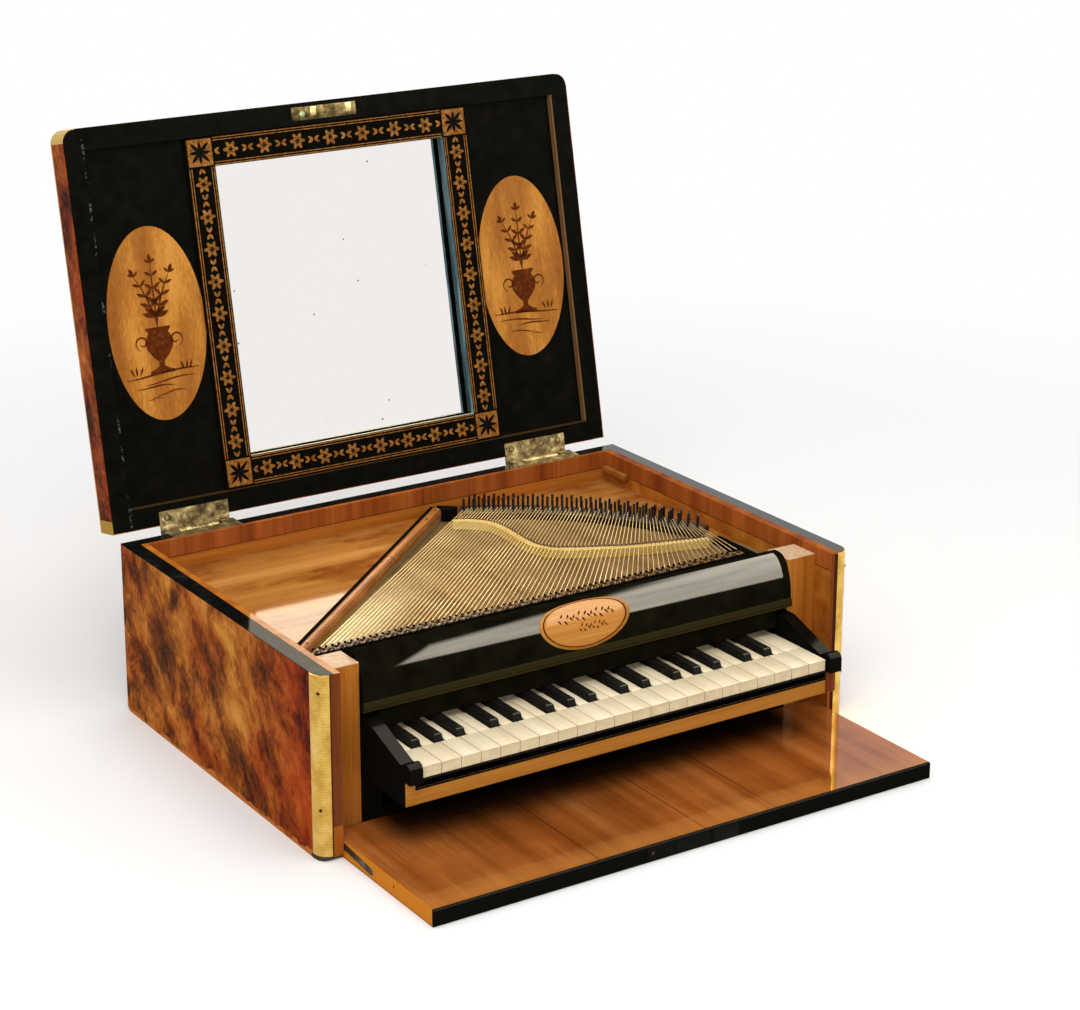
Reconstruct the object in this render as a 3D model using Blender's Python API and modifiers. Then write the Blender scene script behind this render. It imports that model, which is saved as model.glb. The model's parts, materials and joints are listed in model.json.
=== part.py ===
"""Travelling piano in a box case: lid with a mirror, fall-front and a keyboard tray that slides out.

Metres, +X to the player's right, +Y to the back, +Z up. The pieces are drawn with y = 0 at the
case's front edge, and at the end everything is shifted to put the origin on the table, under
the middle of the case. The lid stands open, the fall lies on the table and the key tray is
pulled out.
"""
import math

import bmesh
import bpy
from mathutils import Matrix, Vector

# Gaps between pieces
GLUE_GAP = 0.0001
FIT = 0.0003
RUNNING_GAP = 0.0005
SINK = 0.002  # how far one shape reaches into another that it is joined to

# Case
CASE_WIDTH = 0.400
CASE_DEPTH = 0.272
CASE_HEIGHT = 0.120
SIDE_WALL = 0.015
BACK_WALL = 0.012
FLOOR_THICKNESS = 0.010
CORNER_RADIUS = 0.009
FOOT_ROUNDING = 0.004
THRESHOLD_HEIGHT = 0.007
THRESHOLD_DEPTH = 0.008
LINER_WIDTH = 0.006
LINER_HEIGHT = 0.007

# Fall-front, hinged on two knife hinges low in the side walls
FALL_THICKNESS = 0.011
FALL_PIVOT = 0.0085
FALL_EDGE = 0.0008
HINGE_ARM_REACH = 0.040
HINGE_ARM_DROP = 0.0040
HINGE_ARM_HALF_WIDTH = 0.0022
HINGE_ARM_THICKNESS = 0.0015
FALL_PIN_RADIUS = 0.0014
FALL_PIN_IN_WALL = 0.006

# Posts beside the keyboard
POST_WIDTH = 0.0225
POST_DEPTH = 0.022
POST_BELOW_RIM = 0.005
POST_SETBACK = 0.0005

# Nameboard
NAMEBOARD_BELOW_RIM = 0.002
NAMEBOARD_OVER_KEYS = 0.0185
NAMEBOARD_FRONT = 0.0135
NAMEBOARD_BULGE = 0.0135
NAMEBOARD_RIM = 0.005
NAMEBOARD_BEAD = 0.0065
NAMEBOARD_BEAD_REACH = 0.0018
BATTEN_SETBACK = 0.002
BATTEN_THICKNESS = 0.006
BATTEN_CLEARANCE = 0.0007

# Keyboard
OCTAVES = 3
KEY_GAP = 0.0005
KEYS_SIDE_CLEARANCE = 0.0012
KEY_THICKNESS = 0.0085
HEAD_LENGTH = 0.0245
SHARP_HEIGHT = 0.0048
SHARP_TAPER = 0.0007
SHARP_NOSE = 0.0022
SHARP_LENGTH = 0.043
SHARP_EDGE = 0.0005
KEY_LENGTH = 0.150
BALANCE_FROM_FRONT = 0.066
BALANCE_PIN_RADIUS = 0.0009
BALANCE_HOLE_RADIUS = 0.0014
BALANCE_HOLE_DEPTH = 0.0065
HAMMER_WIDTH = 0.0042
HAMMER_SETBACK = 0.006
HAMMER_FORK_DEPTH = 0.007
HAMMER_FORK_HEIGHT = 0.006
HAMMER_SHANK = 0.002
HAMMER_REACH = 0.024
HAMMER_HEAD_DEPTH = 0.0055
HAMMER_HEAD_HEIGHT = 0.0095
HAMMER_RISE = 0.0185
HAMMER_CLEARANCE = 0.0115
KEY_GROUPS = (("natural", "sharp", "natural", "sharp", "natural", "sharp", "natural"),
              ("natural", "sharp", "natural", "sharp", "natural"))

# Key tray
TRAY_TRAVEL = 0.053
TRAY_BEHIND_FALL = 0.002
TRAY_DEPTH_UNDER_KEYS = 0.0155
TRAY_BOARD = 0.004
CHEEK_THICKNESS = 0.009
CHEEK_CLEARANCE = 0.0035
CHEEK_LENGTH = 0.096
CHEEK_TAIL_DROP = 0.0025
CHEEK_FRONT_RISE = 0.0015
SCROLL_REACH = 0.004
SCROLL_HEIGHT = 0.0125
SCROLL_DEPTH = 0.009
KEY_DIP_ROOM = 0.005
FRONT_RAIL_DEPTH = 0.006
FRONT_RAIL_SETBACK = 0.002
KEY_RAIL_DEPTH = 0.009
RUNNER_WIDTH = 0.014
RUNNER_BEHIND_TRAY = 0.031

# Soundboard and harp
WELL_DEPTH = 0.021
DECK_THICKNESS = 0.004
DECK_FRONT = 0.056
BRACE_DEPTH = 0.006
BRACE_HEIGHT = 0.009
HITCH_RAIL_SETBACK = 0.002
HITCH_RAIL_DEPTH = 0.014
HITCH_RAIL_HEIGHT = 0.0047
HITCH_PEG_RADIUS = 0.0009
HITCH_PEG_HEIGHT = 0.0035
HITCH_PEG_SETBACK = 0.0098
HITCH_FIRST_INSET = 0.019
HITCH_LAST_INSET = 0.025
HARP_RAIL_WIDTH = 0.009
HARP_RAIL_HEIGHT = 0.0087
HARP_RAIL_INSET = 0.0035
HARP_RAIL_START_SETBACK = 0.0063
HARP_CORNER_INSET = 0.152
HARP_CORNER_FROM_BACK = 0.010
HARP_END_SIDESTEP = 0.0110
HARP_END_FORWARD = 0.0095
RIGHT_RAIL_WIDTH = 0.006
RIGHT_RAIL_GAP = 0.006
RIGHT_RAIL_LENGTH = 0.046
STRING_COUNT = 74
STRING_RADIUS = 0.0002
STRING_OVER_RAIL = 0.0017
LISTING_WIDTH = 0.003
LISTING_SETBACK = 0.001
LISTING_THICKNESS = 0.0015
BRIDGE_WIDTH = 0.005
BRIDGE_CROSSINGS = ((0.0, 0.904), (0.083, 0.894), (0.178, 0.856), (0.271, 0.769),
                    (0.363, 0.653), (0.444, 0.574), (0.534, 0.535), (0.624, 0.514),
                    (0.708, 0.492), (0.844, 0.499), (0.974, 0.550))
PIN_LINE_FIRST_INSET = 0.1311
PIN_LINE_FIRST_FROM_BACK = 0.0161
PIN_LINE_LAST_INSET = 0.0162
PIN_LINE_LAST_FROM_BACK = 0.1350
PIN_LINE_BULGE = 0.0147
PIN_ROWS = 3
PIN_ROW_SPACING = 0.005
PIN_RADIUS = 0.0009
PIN_OVER_STRINGS = 0.0083
WREST_PLANK_WIDTH = 0.017
WREST_PLANK_OVERHANG = 0.0042

# Lid with its mirror, and the two hinges at its back
LID_THICKNESS = 0.023
LID_OPEN_ANGLE = 101.6
LID_EDGE = 0.003
LID_RIM = 0.015
LID_RECESS = 0.004
MIRROR_FRAME_HALF_WIDTH = 0.1115
MIRROR_BAND = 0.021
MIRROR_FRAME_THICKNESS = 0.003
MIRROR_DEPTH = 0.0085
MIRROR_THICKNESS = 0.003
MIRROR_LAP = 0.0035
LID_HINGE_BEHIND = 0.0065
LID_HINGE_BELOW = 0.0035
LID_HINGE_RADIUS = 0.0032
LID_HINGE_PIN_RADIUS = 0.0012
LID_HINGE_INSET = 0.046
LID_HINGE_LENGTH = 0.052
LID_HINGE_KNUCKLE = 0.0104
LID_HINGE_LEAF = 0.0012
LID_HINGE_LEAF_REACH = 0.0095

# Places that follow from the sizes above, from the case inwards
INNER_HALF = CASE_WIDTH / 2 - SIDE_WALL
INNER_BACK = CASE_DEPTH - BACK_WALL
LID_BOTTOM = CASE_HEIGHT + FIT
LID_HINGE_OFFSET = INNER_HALF - LID_HINGE_INSET
LID_HINGE_AXIS = Vector((0, CASE_DEPTH + LID_HINGE_BEHIND, CASE_HEIGHT - LID_HINGE_BELOW))
FALL_AXIS = Vector((0, FALL_PIVOT, FALL_PIVOT))
FLOOR_FRONT = 2 * FALL_PIVOT + FIT
POST_FRONT = FLOOR_FRONT + POST_SETBACK
POST_INNER = INNER_HALF - POST_WIDTH
POST_TOP = CASE_HEIGHT - POST_BELOW_RIM

# Places of the deck, the keyboard and its tray
DECK_TOP = CASE_HEIGHT - WELL_DEPTH
DECK_BOTTOM = DECK_TOP - DECK_THICKNESS
ON_DECK = DECK_TOP + FIT
TRAY_HALF = POST_INNER - RUNNING_GAP
NATURAL_COUNT = 7 * OCTAVES + 1
KEYS_HALF = TRAY_HALF - CHEEK_THICKNESS - KEYS_SIDE_CLEARANCE
NATURAL_PITCH = 2 * KEYS_HALF / NATURAL_COUNT
KEY_TOP = DECK_BOTTOM - HAMMER_CLEARANCE - HAMMER_RISE
KEY_BOTTOM = KEY_TOP - KEY_THICKNESS
KEY_FRONT = FALL_THICKNESS + TRAY_BEHIND_FALL + SCROLL_REACH - TRAY_TRAVEL
KEY_BACK = KEY_FRONT + KEY_LENGTH
BALANCE_LINE = KEY_FRONT + BALANCE_FROM_FRONT
SHARP_FRONT = KEY_FRONT + HEAD_LENGTH + KEY_GAP
TRAY_BOTTOM = KEY_BOTTOM - TRAY_DEPTH_UNDER_KEYS
RAIL_FRONT = KEY_FRONT + FRONT_RAIL_SETBACK
NAMEBOARD_TOP = CASE_HEIGHT - NAMEBOARD_BELOW_RIM
NAMEBOARD_BOTTOM = KEY_TOP + NAMEBOARD_OVER_KEYS
BATTEN_BOTTOM = KEY_TOP + SHARP_HEIGHT + BATTEN_CLEARANCE
CHEEK_TOP = NAMEBOARD_BOTTOM - CHEEK_CLEARANCE

# Places of the harp, in plan and in height
HITCH_RAIL_FRONT = DECK_FRONT + HITCH_RAIL_SETBACK
HITCH_RAIL_TOP = ON_DECK + HITCH_RAIL_HEIGHT
HITCH_LINE = HITCH_RAIL_FRONT + HITCH_PEG_SETBACK
HITCH_FIRST = HITCH_FIRST_INSET - INNER_HALF
HITCH_LAST = INNER_HALF - HITCH_LAST_INSET
HARP_RAIL_START = Vector((HARP_RAIL_INSET - INNER_HALF,
                          HITCH_RAIL_FRONT + HARP_RAIL_START_SETBACK))
HARP_RAIL_CORNER = Vector((INNER_HALF - HARP_CORNER_INSET, INNER_BACK - HARP_CORNER_FROM_BACK))
PIN_LINE_FIRST = Vector((INNER_HALF - PIN_LINE_FIRST_INSET,
                         INNER_BACK - PIN_LINE_FIRST_FROM_BACK))
PIN_LINE_LAST = Vector((INNER_HALF - PIN_LINE_LAST_INSET,
                        INNER_BACK - PIN_LINE_LAST_FROM_BACK))
STRING_LEVEL = HITCH_RAIL_TOP + STRING_OVER_RAIL
BRIDGE_TOP = STRING_LEVEL - STRING_RADIUS - FIT
PIN_TOP = STRING_LEVEL + PIN_OVER_STRINGS

COLOURS = {
    "burl_veneer": ((0.42, 0.17, 0.05), 0.25, 0.0),
    "honey_veneer": ((0.50, 0.22, 0.06), 0.20, 0.0),
    "light_wood": ((0.62, 0.42, 0.18), 0.45, 0.0),
    "ebonised_wood": ((0.012, 0.011, 0.010), 0.20, 0.0),
    "bone": ((0.80, 0.73, 0.55), 0.30, 0.0),
    "aged_brass": ((0.52, 0.42, 0.24), 0.40, 1.0),
    "gut_brass_wire": ((0.60, 0.48, 0.28), 0.35, 1.0),
    "mirror_silvering": ((0.88, 0.89, 0.90), 0.03, 1.0),
}


def clear_scene():
    """Remove every object, so that the script can be run again."""
    for obj in list(bpy.data.objects):
        bpy.data.objects.remove(obj, do_unlink=True)


def new_collection(name):
    """A collection of that name in the scene."""
    collection = bpy.data.collections.get(name) or bpy.data.collections.new(name)
    if collection.name not in bpy.context.scene.collection.children:
        bpy.context.scene.collection.children.link(collection)
    return collection


def finish(name):
    """A Principled material with the colour, roughness and metallic value of COLOURS."""
    material = bpy.data.materials.get(name)
    if material:
        return material
    colour, roughness, metallic = COLOURS[name]
    material = bpy.data.materials.new(name)
    material.use_nodes = True
    shader = material.node_tree.nodes["Principled BSDF"]
    shader.inputs["Base Color"].default_value = (*colour, 1)
    shader.inputs["Roughness"].default_value = roughness
    shader.inputs["Metallic"].default_value = metallic
    material.diffuse_color = (*colour, 1)
    return material


def object_from(name, bm):
    """An object with the bmesh's faces, in the parts' collection."""
    mesh = bpy.data.meshes.new(name)
    bm.to_mesh(mesh)
    bm.free()
    obj = bpy.data.objects.new(name, mesh)
    PARTS.objects.link(obj)
    return obj


def box(name, low, high):
    """A box between two corners."""
    centre = (Vector(low) + Vector(high)) / 2
    size = Vector(high) - Vector(low)
    bm = bmesh.new()
    place = Matrix.Translation(centre) @ Matrix.Diagonal((*size, 1))
    bmesh.ops.create_cube(bm, size=1, matrix=place)
    return object_from(name, bm)


def rounded_box(name, low, high, radius, segments, chosen):
    """A box whose edges are rounded where chosen(middle, direction) is true."""
    obj = box(name, low, high)
    bm = bmesh.new()
    bm.from_mesh(obj.data)
    edges = []
    for edge in bm.edges:
        start, end = (vertex.co for vertex in edge.verts)
        if chosen((start + end) / 2, (end - start).normalized()):
            edges.append(edge)
    bmesh.ops.bevel(bm, geom=edges, offset=radius, segments=segments, profile=0.5,
                    affect="EDGES", clamp_overlap=True)
    bm.to_mesh(obj.data)
    bm.free()
    return obj


def rod(name, radius, start, end, sides):
    """A round rod between two points."""
    start, end = Vector(start), Vector(end)
    along = end - start
    turn = along.to_track_quat("Z", "Y").to_matrix().to_4x4()
    bm = bmesh.new()
    bmesh.ops.create_cone(bm, cap_ends=True, segments=sides, radius1=radius, radius2=radius,
                          depth=along.length, matrix=Matrix.Translation((start + end) / 2) @ turn)
    return object_from(name, bm)


def plate(name, points, low, high, plane):
    """A flat outline, given in the plane's two axes, made thick between low and high."""
    curve = bpy.data.curves.new(name, "CURVE")
    curve.dimensions = "2D"
    curve.fill_mode = "BOTH"
    curve.extrude = (high - low) / 2
    spline = curve.splines.new("POLY")
    spline.points.add(len(points) - 1)
    for point, (across, up) in zip(spline.points, points):
        point.co = (across, up, 0, 1)
    spline.use_cyclic_u = True
    guide = bpy.data.objects.new(name, curve)
    PARTS.objects.link(guide)
    guide.matrix_world = PLANES[plane] @ Matrix.Translation((0, 0, (high + low) / 2))
    return mesh_of(guide)


PLANES = {
    "XY": Matrix.Identity(4),
    "YZ": Matrix(((0, 0, 1, 0), (1, 0, 0, 0), (0, 1, 0, 0), (0, 0, 0, 1))),
}


def mesh_of(guide):
    """The curve object as a mesh object in its place, with its caps welded."""
    bpy.context.view_layer.update()
    evaluated = guide.evaluated_get(bpy.context.evaluated_depsgraph_get())
    mesh = bpy.data.meshes.new_from_object(evaluated)
    bm = bmesh.new()
    bm.from_mesh(mesh)
    bmesh.ops.remove_doubles(bm, verts=bm.verts, dist=0.00001)
    bmesh.ops.transform(bm, matrix=guide.matrix_world, verts=bm.verts)
    bmesh.ops.recalc_face_normals(bm, faces=bm.faces)
    name = guide.name
    curve = guide.data
    bpy.data.objects.remove(guide, do_unlink=True)
    bpy.data.curves.remove(curve)
    bpy.data.meshes.remove(mesh)
    return object_from(name, bm)


def combine(obj, other, operation):
    """Change obj by the other solid with an exact Boolean, and hide the other away."""
    PARTS.objects.unlink(other)
    CUTTERS.objects.link(other)
    other.hide_render = True
    other.display_type = "WIRE"
    boolean = obj.modifiers.new(other.name, "BOOLEAN")
    boolean.operation = operation
    boolean.solver = "EXACT"
    boolean.object = other
    return obj


def cut(obj, *others):
    """Take the other solids away from obj."""
    for other in others:
        combine(obj, other, "DIFFERENCE")
    return obj


def join(obj, *others):
    """Make obj and the other solids one."""
    for other in others:
        combine(obj, other, "UNION")
    return obj


def many(name, solids):
    """Separate solids as one mesh, for a single Boolean."""
    bm = bmesh.new()
    for solid in solids:
        bm.from_mesh(solid.data)
        bpy.data.objects.remove(solid, do_unlink=True)
    return object_from(name, bm)


def bake(obj):
    """Turn the object's modifiers into plain geometry, so that it can be placed and turned."""
    bpy.context.view_layer.update()
    evaluated = obj.evaluated_get(bpy.context.evaluated_depsgraph_get())
    mesh = bpy.data.meshes.new_from_object(evaluated)
    obj.modifiers.clear()
    obj.data = mesh
    return obj


def dress(obj, finish_name, pivot=None):
    """Give obj its material, and its origin on the pivot if it has one."""
    bake(obj)
    obj.data.materials.clear()
    obj.data.materials.append(finish(finish_name))
    if pivot is not None:
        obj.data.transform(Matrix.Translation(-Vector(pivot)))
        obj.location = pivot
    return obj


def arc(centre, radius, first, last, steps):
    """Points on a circle, from the first angle to the last, in degrees."""
    points = []
    for step in range(steps + 1):
        angle = math.radians(first + (last - first) * step / steps)
        points.append((centre[0] + radius * math.cos(angle), centre[1] + radius * math.sin(angle)))
    return points


def case_side(side):
    """A side wall, its outer front corner rounded for the corner strip, with the deck's liner."""
    name = "case_left_side" if side < 0 else "case_right_side"
    inner, outer = side * INNER_HALF, side * CASE_WIDTH / 2
    low, high = sorted((inner, outer))

    def front_corner(middle, direction):
        return abs(direction.z) > 0.9 and middle.y < FIT and abs(middle.x - outer) < FIT

    wall = rounded_box(name, (low, 0, 0), (high, CASE_DEPTH, CASE_HEIGHT),
                       CORNER_RADIUS, 4, front_corner)
    foot = plate(f"{name}_outline", side_outline(), low - FIT, high + FIT, "YZ")
    combine(wall, foot, "INTERSECT")
    liner_edge = side * (INNER_HALF - LINER_WIDTH)
    liner_low, liner_high = sorted((liner_edge, inner + side * FIT))
    liner = box(f"{name}_liner", (liner_low, DECK_FRONT, DECK_BOTTOM - FIT - LINER_HEIGHT),
                (liner_high, INNER_BACK - GLUE_GAP, DECK_BOTTOM - FIT))
    join(wall, liner)
    pin_hole = rod(f"{name}_pin_hole", FALL_PIN_RADIUS + FIT, (inner - side * FIT, *FALL_AXIS.yz),
                   (inner + side * (FALL_PIN_IN_WALL + 2 * FIT), *FALL_AXIS.yz), 16)
    cut(wall, pin_hole)
    return dress(wall, "burl_veneer")


def side_outline():
    """The side wall seen from the side, with its lower corners rounded."""
    radius = FOOT_ROUNDING
    front = arc((radius, radius), radius, 180, 270, 4)
    back = arc((CASE_DEPTH - radius, radius), radius, 270, 360, 4)
    return front + back + [(CASE_DEPTH, CASE_HEIGHT), (0, CASE_HEIGHT)]


def case_back():
    """The back wall between the sides, with the deck's liner and the seats of the lid hinges."""
    half = INNER_HALF - GLUE_GAP
    wall = box("case_back", (-half, INNER_BACK, 0), (half, CASE_DEPTH, CASE_HEIGHT))
    liner = box("case_back_liner", (LINER_WIDTH - half, INNER_BACK - LINER_WIDTH,
                                    DECK_BOTTOM - FIT - LINER_HEIGHT),
                (half - LINER_WIDTH, INNER_BACK + FIT, DECK_BOTTOM - FIT))
    join(wall, liner)
    for side in (-1, 1):
        seat_half = LID_HINGE_LENGTH / 2 + FIT
        middle = side * LID_HINGE_OFFSET
        seat = box(f"case_back_hinge_seat_{side}",
                   (middle - seat_half, CASE_DEPTH - LID_HINGE_LEAF_REACH - FIT,
                    CASE_HEIGHT - LID_HINGE_LEAF - FIT),
                   (middle + seat_half, CASE_DEPTH + FIT, CASE_HEIGHT + FIT))
        cut(wall, seat)
    return dress(wall, "burl_veneer")


def case_bottom():
    """The floor board, its threshold behind the fall and the runners of the key tray."""
    half = INNER_HALF - GLUE_GAP
    board = box("case_bottom", (-half, FLOOR_FRONT, 0),
                (half, INNER_BACK - GLUE_GAP, FLOOR_THICKNESS))
    threshold_half = POST_INNER - FIT
    threshold = box("case_threshold", (-threshold_half, FLOOR_FRONT + GLUE_GAP, GLUE_GAP),
                    (threshold_half, FLOOR_FRONT + THRESHOLD_DEPTH,
                     FLOOR_THICKNESS + THRESHOLD_HEIGHT))
    join(board, threshold)
    runner_back = KEY_BACK + TRAY_TRAVEL + RUNNER_BEHIND_TRAY
    for side in (-1, 1):
        low, high = sorted((side * (TRAY_HALF - RUNNER_WIDTH), side * (TRAY_HALF - FIT)))
        runner = box(f"case_runner_{side}", (low, POST_FRONT, FLOOR_THICKNESS - SINK),
                     (high, runner_back, TRAY_BOTTOM - FIT))
        join(board, runner)
    return dress(board, "ebonised_wood")


def post(side):
    """A wooden post that closes the gap between the side wall and the keyboard."""
    name = "post_left" if side < 0 else "post_right"
    low, high = sorted((side * POST_INNER, side * (INNER_HALF - GLUE_GAP)))
    piece = box(name, (low, POST_FRONT, FLOOR_THICKNESS + GLUE_GAP),
                (high, POST_FRONT + POST_DEPTH, POST_TOP))
    return dress(piece, "honey_veneer")


def nameboard_outline():
    """The nameboard from the side: a quarter-round face over a small bead."""
    top_front = NAMEBOARD_FRONT + NAMEBOARD_BULGE
    points = [(top_front + NAMEBOARD_RIM, NAMEBOARD_TOP)]
    bead_top = NAMEBOARD_BOTTOM + NAMEBOARD_BEAD
    height = NAMEBOARD_TOP - bead_top
    for step in range(9):
        angle = math.radians(90 * step / 8)
        points.append((top_front - NAMEBOARD_BULGE * math.sin(angle),
                       bead_top + height * math.cos(angle)))
    bead_middle = (NAMEBOARD_FRONT, bead_top - NAMEBOARD_BEAD / 2)
    for step in range(5):
        angle = math.radians(90 + 180 * step / 4)
        points.append((bead_middle[0] + NAMEBOARD_BEAD_REACH * math.cos(angle),
                       bead_middle[1] + NAMEBOARD_BEAD / 2 * math.sin(angle)))
    points.append((top_front + NAMEBOARD_RIM, NAMEBOARD_BOTTOM))
    return points


def nameboard():
    """The curved nameboard between the posts, with the batten over the keys."""
    half = POST_INNER - FIT
    board = plate("nameboard", nameboard_outline(), -half, half, "YZ")
    batten_half = KEYS_HALF + FIT
    batten_front = NAMEBOARD_FRONT + BATTEN_SETBACK
    batten = box("nameboard_batten", (-batten_half, batten_front, BATTEN_BOTTOM),
                 (batten_half, batten_front + BATTEN_THICKNESS,
                  NAMEBOARD_BOTTOM + NAMEBOARD_BEAD))
    join(board, batten)
    return dress(board, "ebonised_wood")


def soundboard():
    """The deck under the strings, with the brace glued below its front edge."""
    half = INNER_HALF - GLUE_GAP
    deck = box("soundboard", (-half, DECK_FRONT, DECK_BOTTOM),
               (half, INNER_BACK - GLUE_GAP, DECK_TOP))
    brace_half = half - LINER_WIDTH - RUNNING_GAP
    brace = box("soundboard_brace", (-brace_half, DECK_FRONT + GLUE_GAP,
                                     DECK_BOTTOM - BRACE_HEIGHT),
                (brace_half, DECK_FRONT + BRACE_DEPTH, DECK_BOTTOM + SINK))
    join(deck, brace)
    return dress(deck, "honey_veneer")


def string_share(index):
    """Where a string lies between the first and the last, from 0 to 1."""
    return index / (STRING_COUNT - 1)


def hitch_point(index):
    """The middle of a string's hitch peg."""
    return Vector((HITCH_FIRST + (HITCH_LAST - HITCH_FIRST) * string_share(index), HITCH_LINE))


def pin_line():
    """The arc of the tuning pins: centre, radius and the angles of its two ends, in degrees."""
    chord = PIN_LINE_LAST - PIN_LINE_FIRST
    half = chord.length / 2
    radius = (half ** 2 + PIN_LINE_BULGE ** 2) / (2 * PIN_LINE_BULGE)
    outward = Vector((-chord.y, chord.x)).normalized()
    centre = (PIN_LINE_FIRST + PIN_LINE_LAST) / 2 - outward * (radius - PIN_LINE_BULGE)
    angles = []
    for end in (PIN_LINE_FIRST, PIN_LINE_LAST):
        angles.append(math.degrees(math.atan2(end.y - centre.y, end.x - centre.x)))
    return centre, radius, angles[0], angles[1]


def pin_target(share):
    """Where the string at that share of the harp meets the pins' arc."""
    centre, radius, first, last = pin_line()
    turn = math.radians(first + (last - first) * share)
    return centre + radius * Vector((math.cos(turn), math.sin(turn)))


def string_line(index):
    """Where a string passes its hitch peg, its direction, and where it meets the pins' arc."""
    target = pin_target(string_share(index))
    peg = hitch_point(index)
    towards = (target - peg).normalized()
    clear = HITCH_PEG_RADIUS + STRING_RADIUS + FIT
    passing = peg + Vector((towards.y, -towards.x)) * clear
    return passing, (target - passing).normalized(), target


def tuning_pin_point(index):
    """The middle of a string's tuning pin, on the string's line and in one of the rows."""
    _passing, along, target = string_line(index)
    row = index % PIN_ROWS - (PIN_ROWS - 1) / 2
    return target + along * row * PIN_ROW_SPACING


def beam(name, start, end, width, low, high):
    """A straight beam on the deck from one point to another."""
    start, end = Vector(start), Vector(end)
    along = end - start
    middle = (start + end) / 2
    turn = Matrix.Rotation(math.atan2(along.y, along.x), 4, "Z")
    size = Matrix.Diagonal((along.length, width, high - low, 1))
    bm = bmesh.new()
    place = Matrix.Translation((middle.x, middle.y, (low + high) / 2))
    bmesh.ops.create_cube(bm, size=1, matrix=place @ turn @ size)
    return object_from(name, bm)


def harp_frame():
    """The rails round the strings: the hitch rail in front, the slanted rail and its end."""
    right_end = HITCH_LAST + RIGHT_RAIL_GAP + RIGHT_RAIL_WIDTH
    rail = box("harp_frame", (HARP_RAIL_START.x - FIT, HITCH_RAIL_FRONT, ON_DECK),
               (right_end, HITCH_RAIL_FRONT + HITCH_RAIL_DEPTH, HITCH_RAIL_TOP))
    slant_top = ON_DECK + HARP_RAIL_HEIGHT
    slant = beam("harp_slanted_rail", HARP_RAIL_START, HARP_RAIL_CORNER, HARP_RAIL_WIDTH,
                 ON_DECK, slant_top)
    end = beam("harp_rail_end", HARP_RAIL_CORNER, HARP_RAIL_CORNER + Vector((HARP_END_SIDESTEP, -HARP_END_FORWARD)),
               HARP_RAIL_WIDTH, ON_DECK, slant_top)
    right = box("harp_right_rail", (right_end - RIGHT_RAIL_WIDTH, HITCH_RAIL_FRONT, ON_DECK),
                (right_end, HITCH_RAIL_FRONT + RIGHT_RAIL_LENGTH, HITCH_RAIL_TOP))
    join(rail, slant, end, right)
    pegs = []
    for index in range(STRING_COUNT):
        place = hitch_point(index)
        pegs.append(rod(f"hitch_peg_{index}", HITCH_PEG_RADIUS, (*place, ON_DECK + FIT),
                        (*place, HITCH_RAIL_TOP + HITCH_PEG_HEIGHT), 6))
    join(rail, many("hitch_pegs", pegs))
    return dress(rail, "ebonised_wood")


def wrest_plank():
    """The curved plank behind the bridge with the tuning pins."""
    centre, radius, first, last = pin_line()
    overhang = math.degrees(WREST_PLANK_OVERHANG / radius)
    outer = arc(centre, radius + WREST_PLANK_WIDTH / 2, last - overhang, first + overhang, 16)
    inner = arc(centre, radius - WREST_PLANK_WIDTH / 2, first + overhang, last - overhang, 16)
    plank = plate("wrest_plank", outer + inner, ON_DECK, HITCH_RAIL_TOP, "XY")
    pins = []
    for index in range(STRING_COUNT):
        place = tuning_pin_point(index)
        pins.append(rod(f"tuning_pin_{index}", PIN_RADIUS, (*place, ON_DECK + FIT),
                        (*place, PIN_TOP), 6))
    join(plank, many("tuning_pins", pins))
    return dress(plank, "ebonised_wood")


def smooth_line(points, steps):
    """A smooth line through the points, as a Catmull-Rom spline."""
    ends = [points[0]] + list(points) + [points[-1]]
    line = []
    for index in range(len(points) - 1):
        before, start, end, after = (Vector(p) for p in ends[index:index + 4])
        for step in range(steps):
            t = step / steps
            line.append(0.5 * (2 * start + (end - before) * t
                               + (2 * before - 5 * start + 4 * end - after) * t ** 2
                               + (3 * start - before - 3 * end + after) * t ** 3))
    line.append(Vector(points[-1]))
    return line


def ribbon(line, width):
    """The outline of a band of that width along a line."""
    left, right = [], []
    for index, point in enumerate(line):
        before = line[max(index - 1, 0)]
        after = line[min(index + 1, len(line) - 1)]
        along = (after - before).normalized()
        across = Vector((-along.y, along.x)) * width / 2
        left.append(point + across)
        right.append(point - across)
    return [tuple(point) for point in left + right[::-1]]


def bridge():
    """The S-shaped bridge on the deck, its top just under the strings."""
    centres = []
    for across, along in BRIDGE_CROSSINGS:
        peg = Vector((HITCH_FIRST + (HITCH_LAST - HITCH_FIRST) * across, HITCH_LINE))
        centres.append(peg.lerp(pin_target(across), along))
    outline = ribbon(smooth_line(centres, 3), BRIDGE_WIDTH)
    return dress(plate("bridge", outline, ON_DECK, BRIDGE_TOP, "XY"), "light_wood")


def string_start(index):
    """Where a string begins, in the middle of the cloth listing."""
    passing, along, _target = string_line(index)
    listing_middle = HITCH_RAIL_FRONT + LISTING_SETBACK + LISTING_WIDTH / 2
    return passing - along * (passing.y - listing_middle) / along.y


def strings():
    """The strings, held together near their pegs by the cloth listing woven through them."""
    first, last = string_start(0), string_start(STRING_COUNT - 1)
    low = HITCH_RAIL_TOP + FIT
    strip = box("strings", (first.x - LISTING_WIDTH, first.y - LISTING_WIDTH / 2, low),
                (last.x + LISTING_WIDTH, last.y + LISTING_WIDTH / 2, low + LISTING_THICKNESS))
    wires = []
    for index in range(STRING_COUNT):
        _passing, along, _target = string_line(index)
        end = tuning_pin_point(index) - along * (PIN_RADIUS + FIT)
        wires.append(rod(f"string_{index}", STRING_RADIUS, (*string_start(index), STRING_LEVEL),
                         (*end, STRING_LEVEL), 4))
    join(strip, many("string_wires", wires))
    return dress(strip, "gut_brass_wire")


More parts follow.
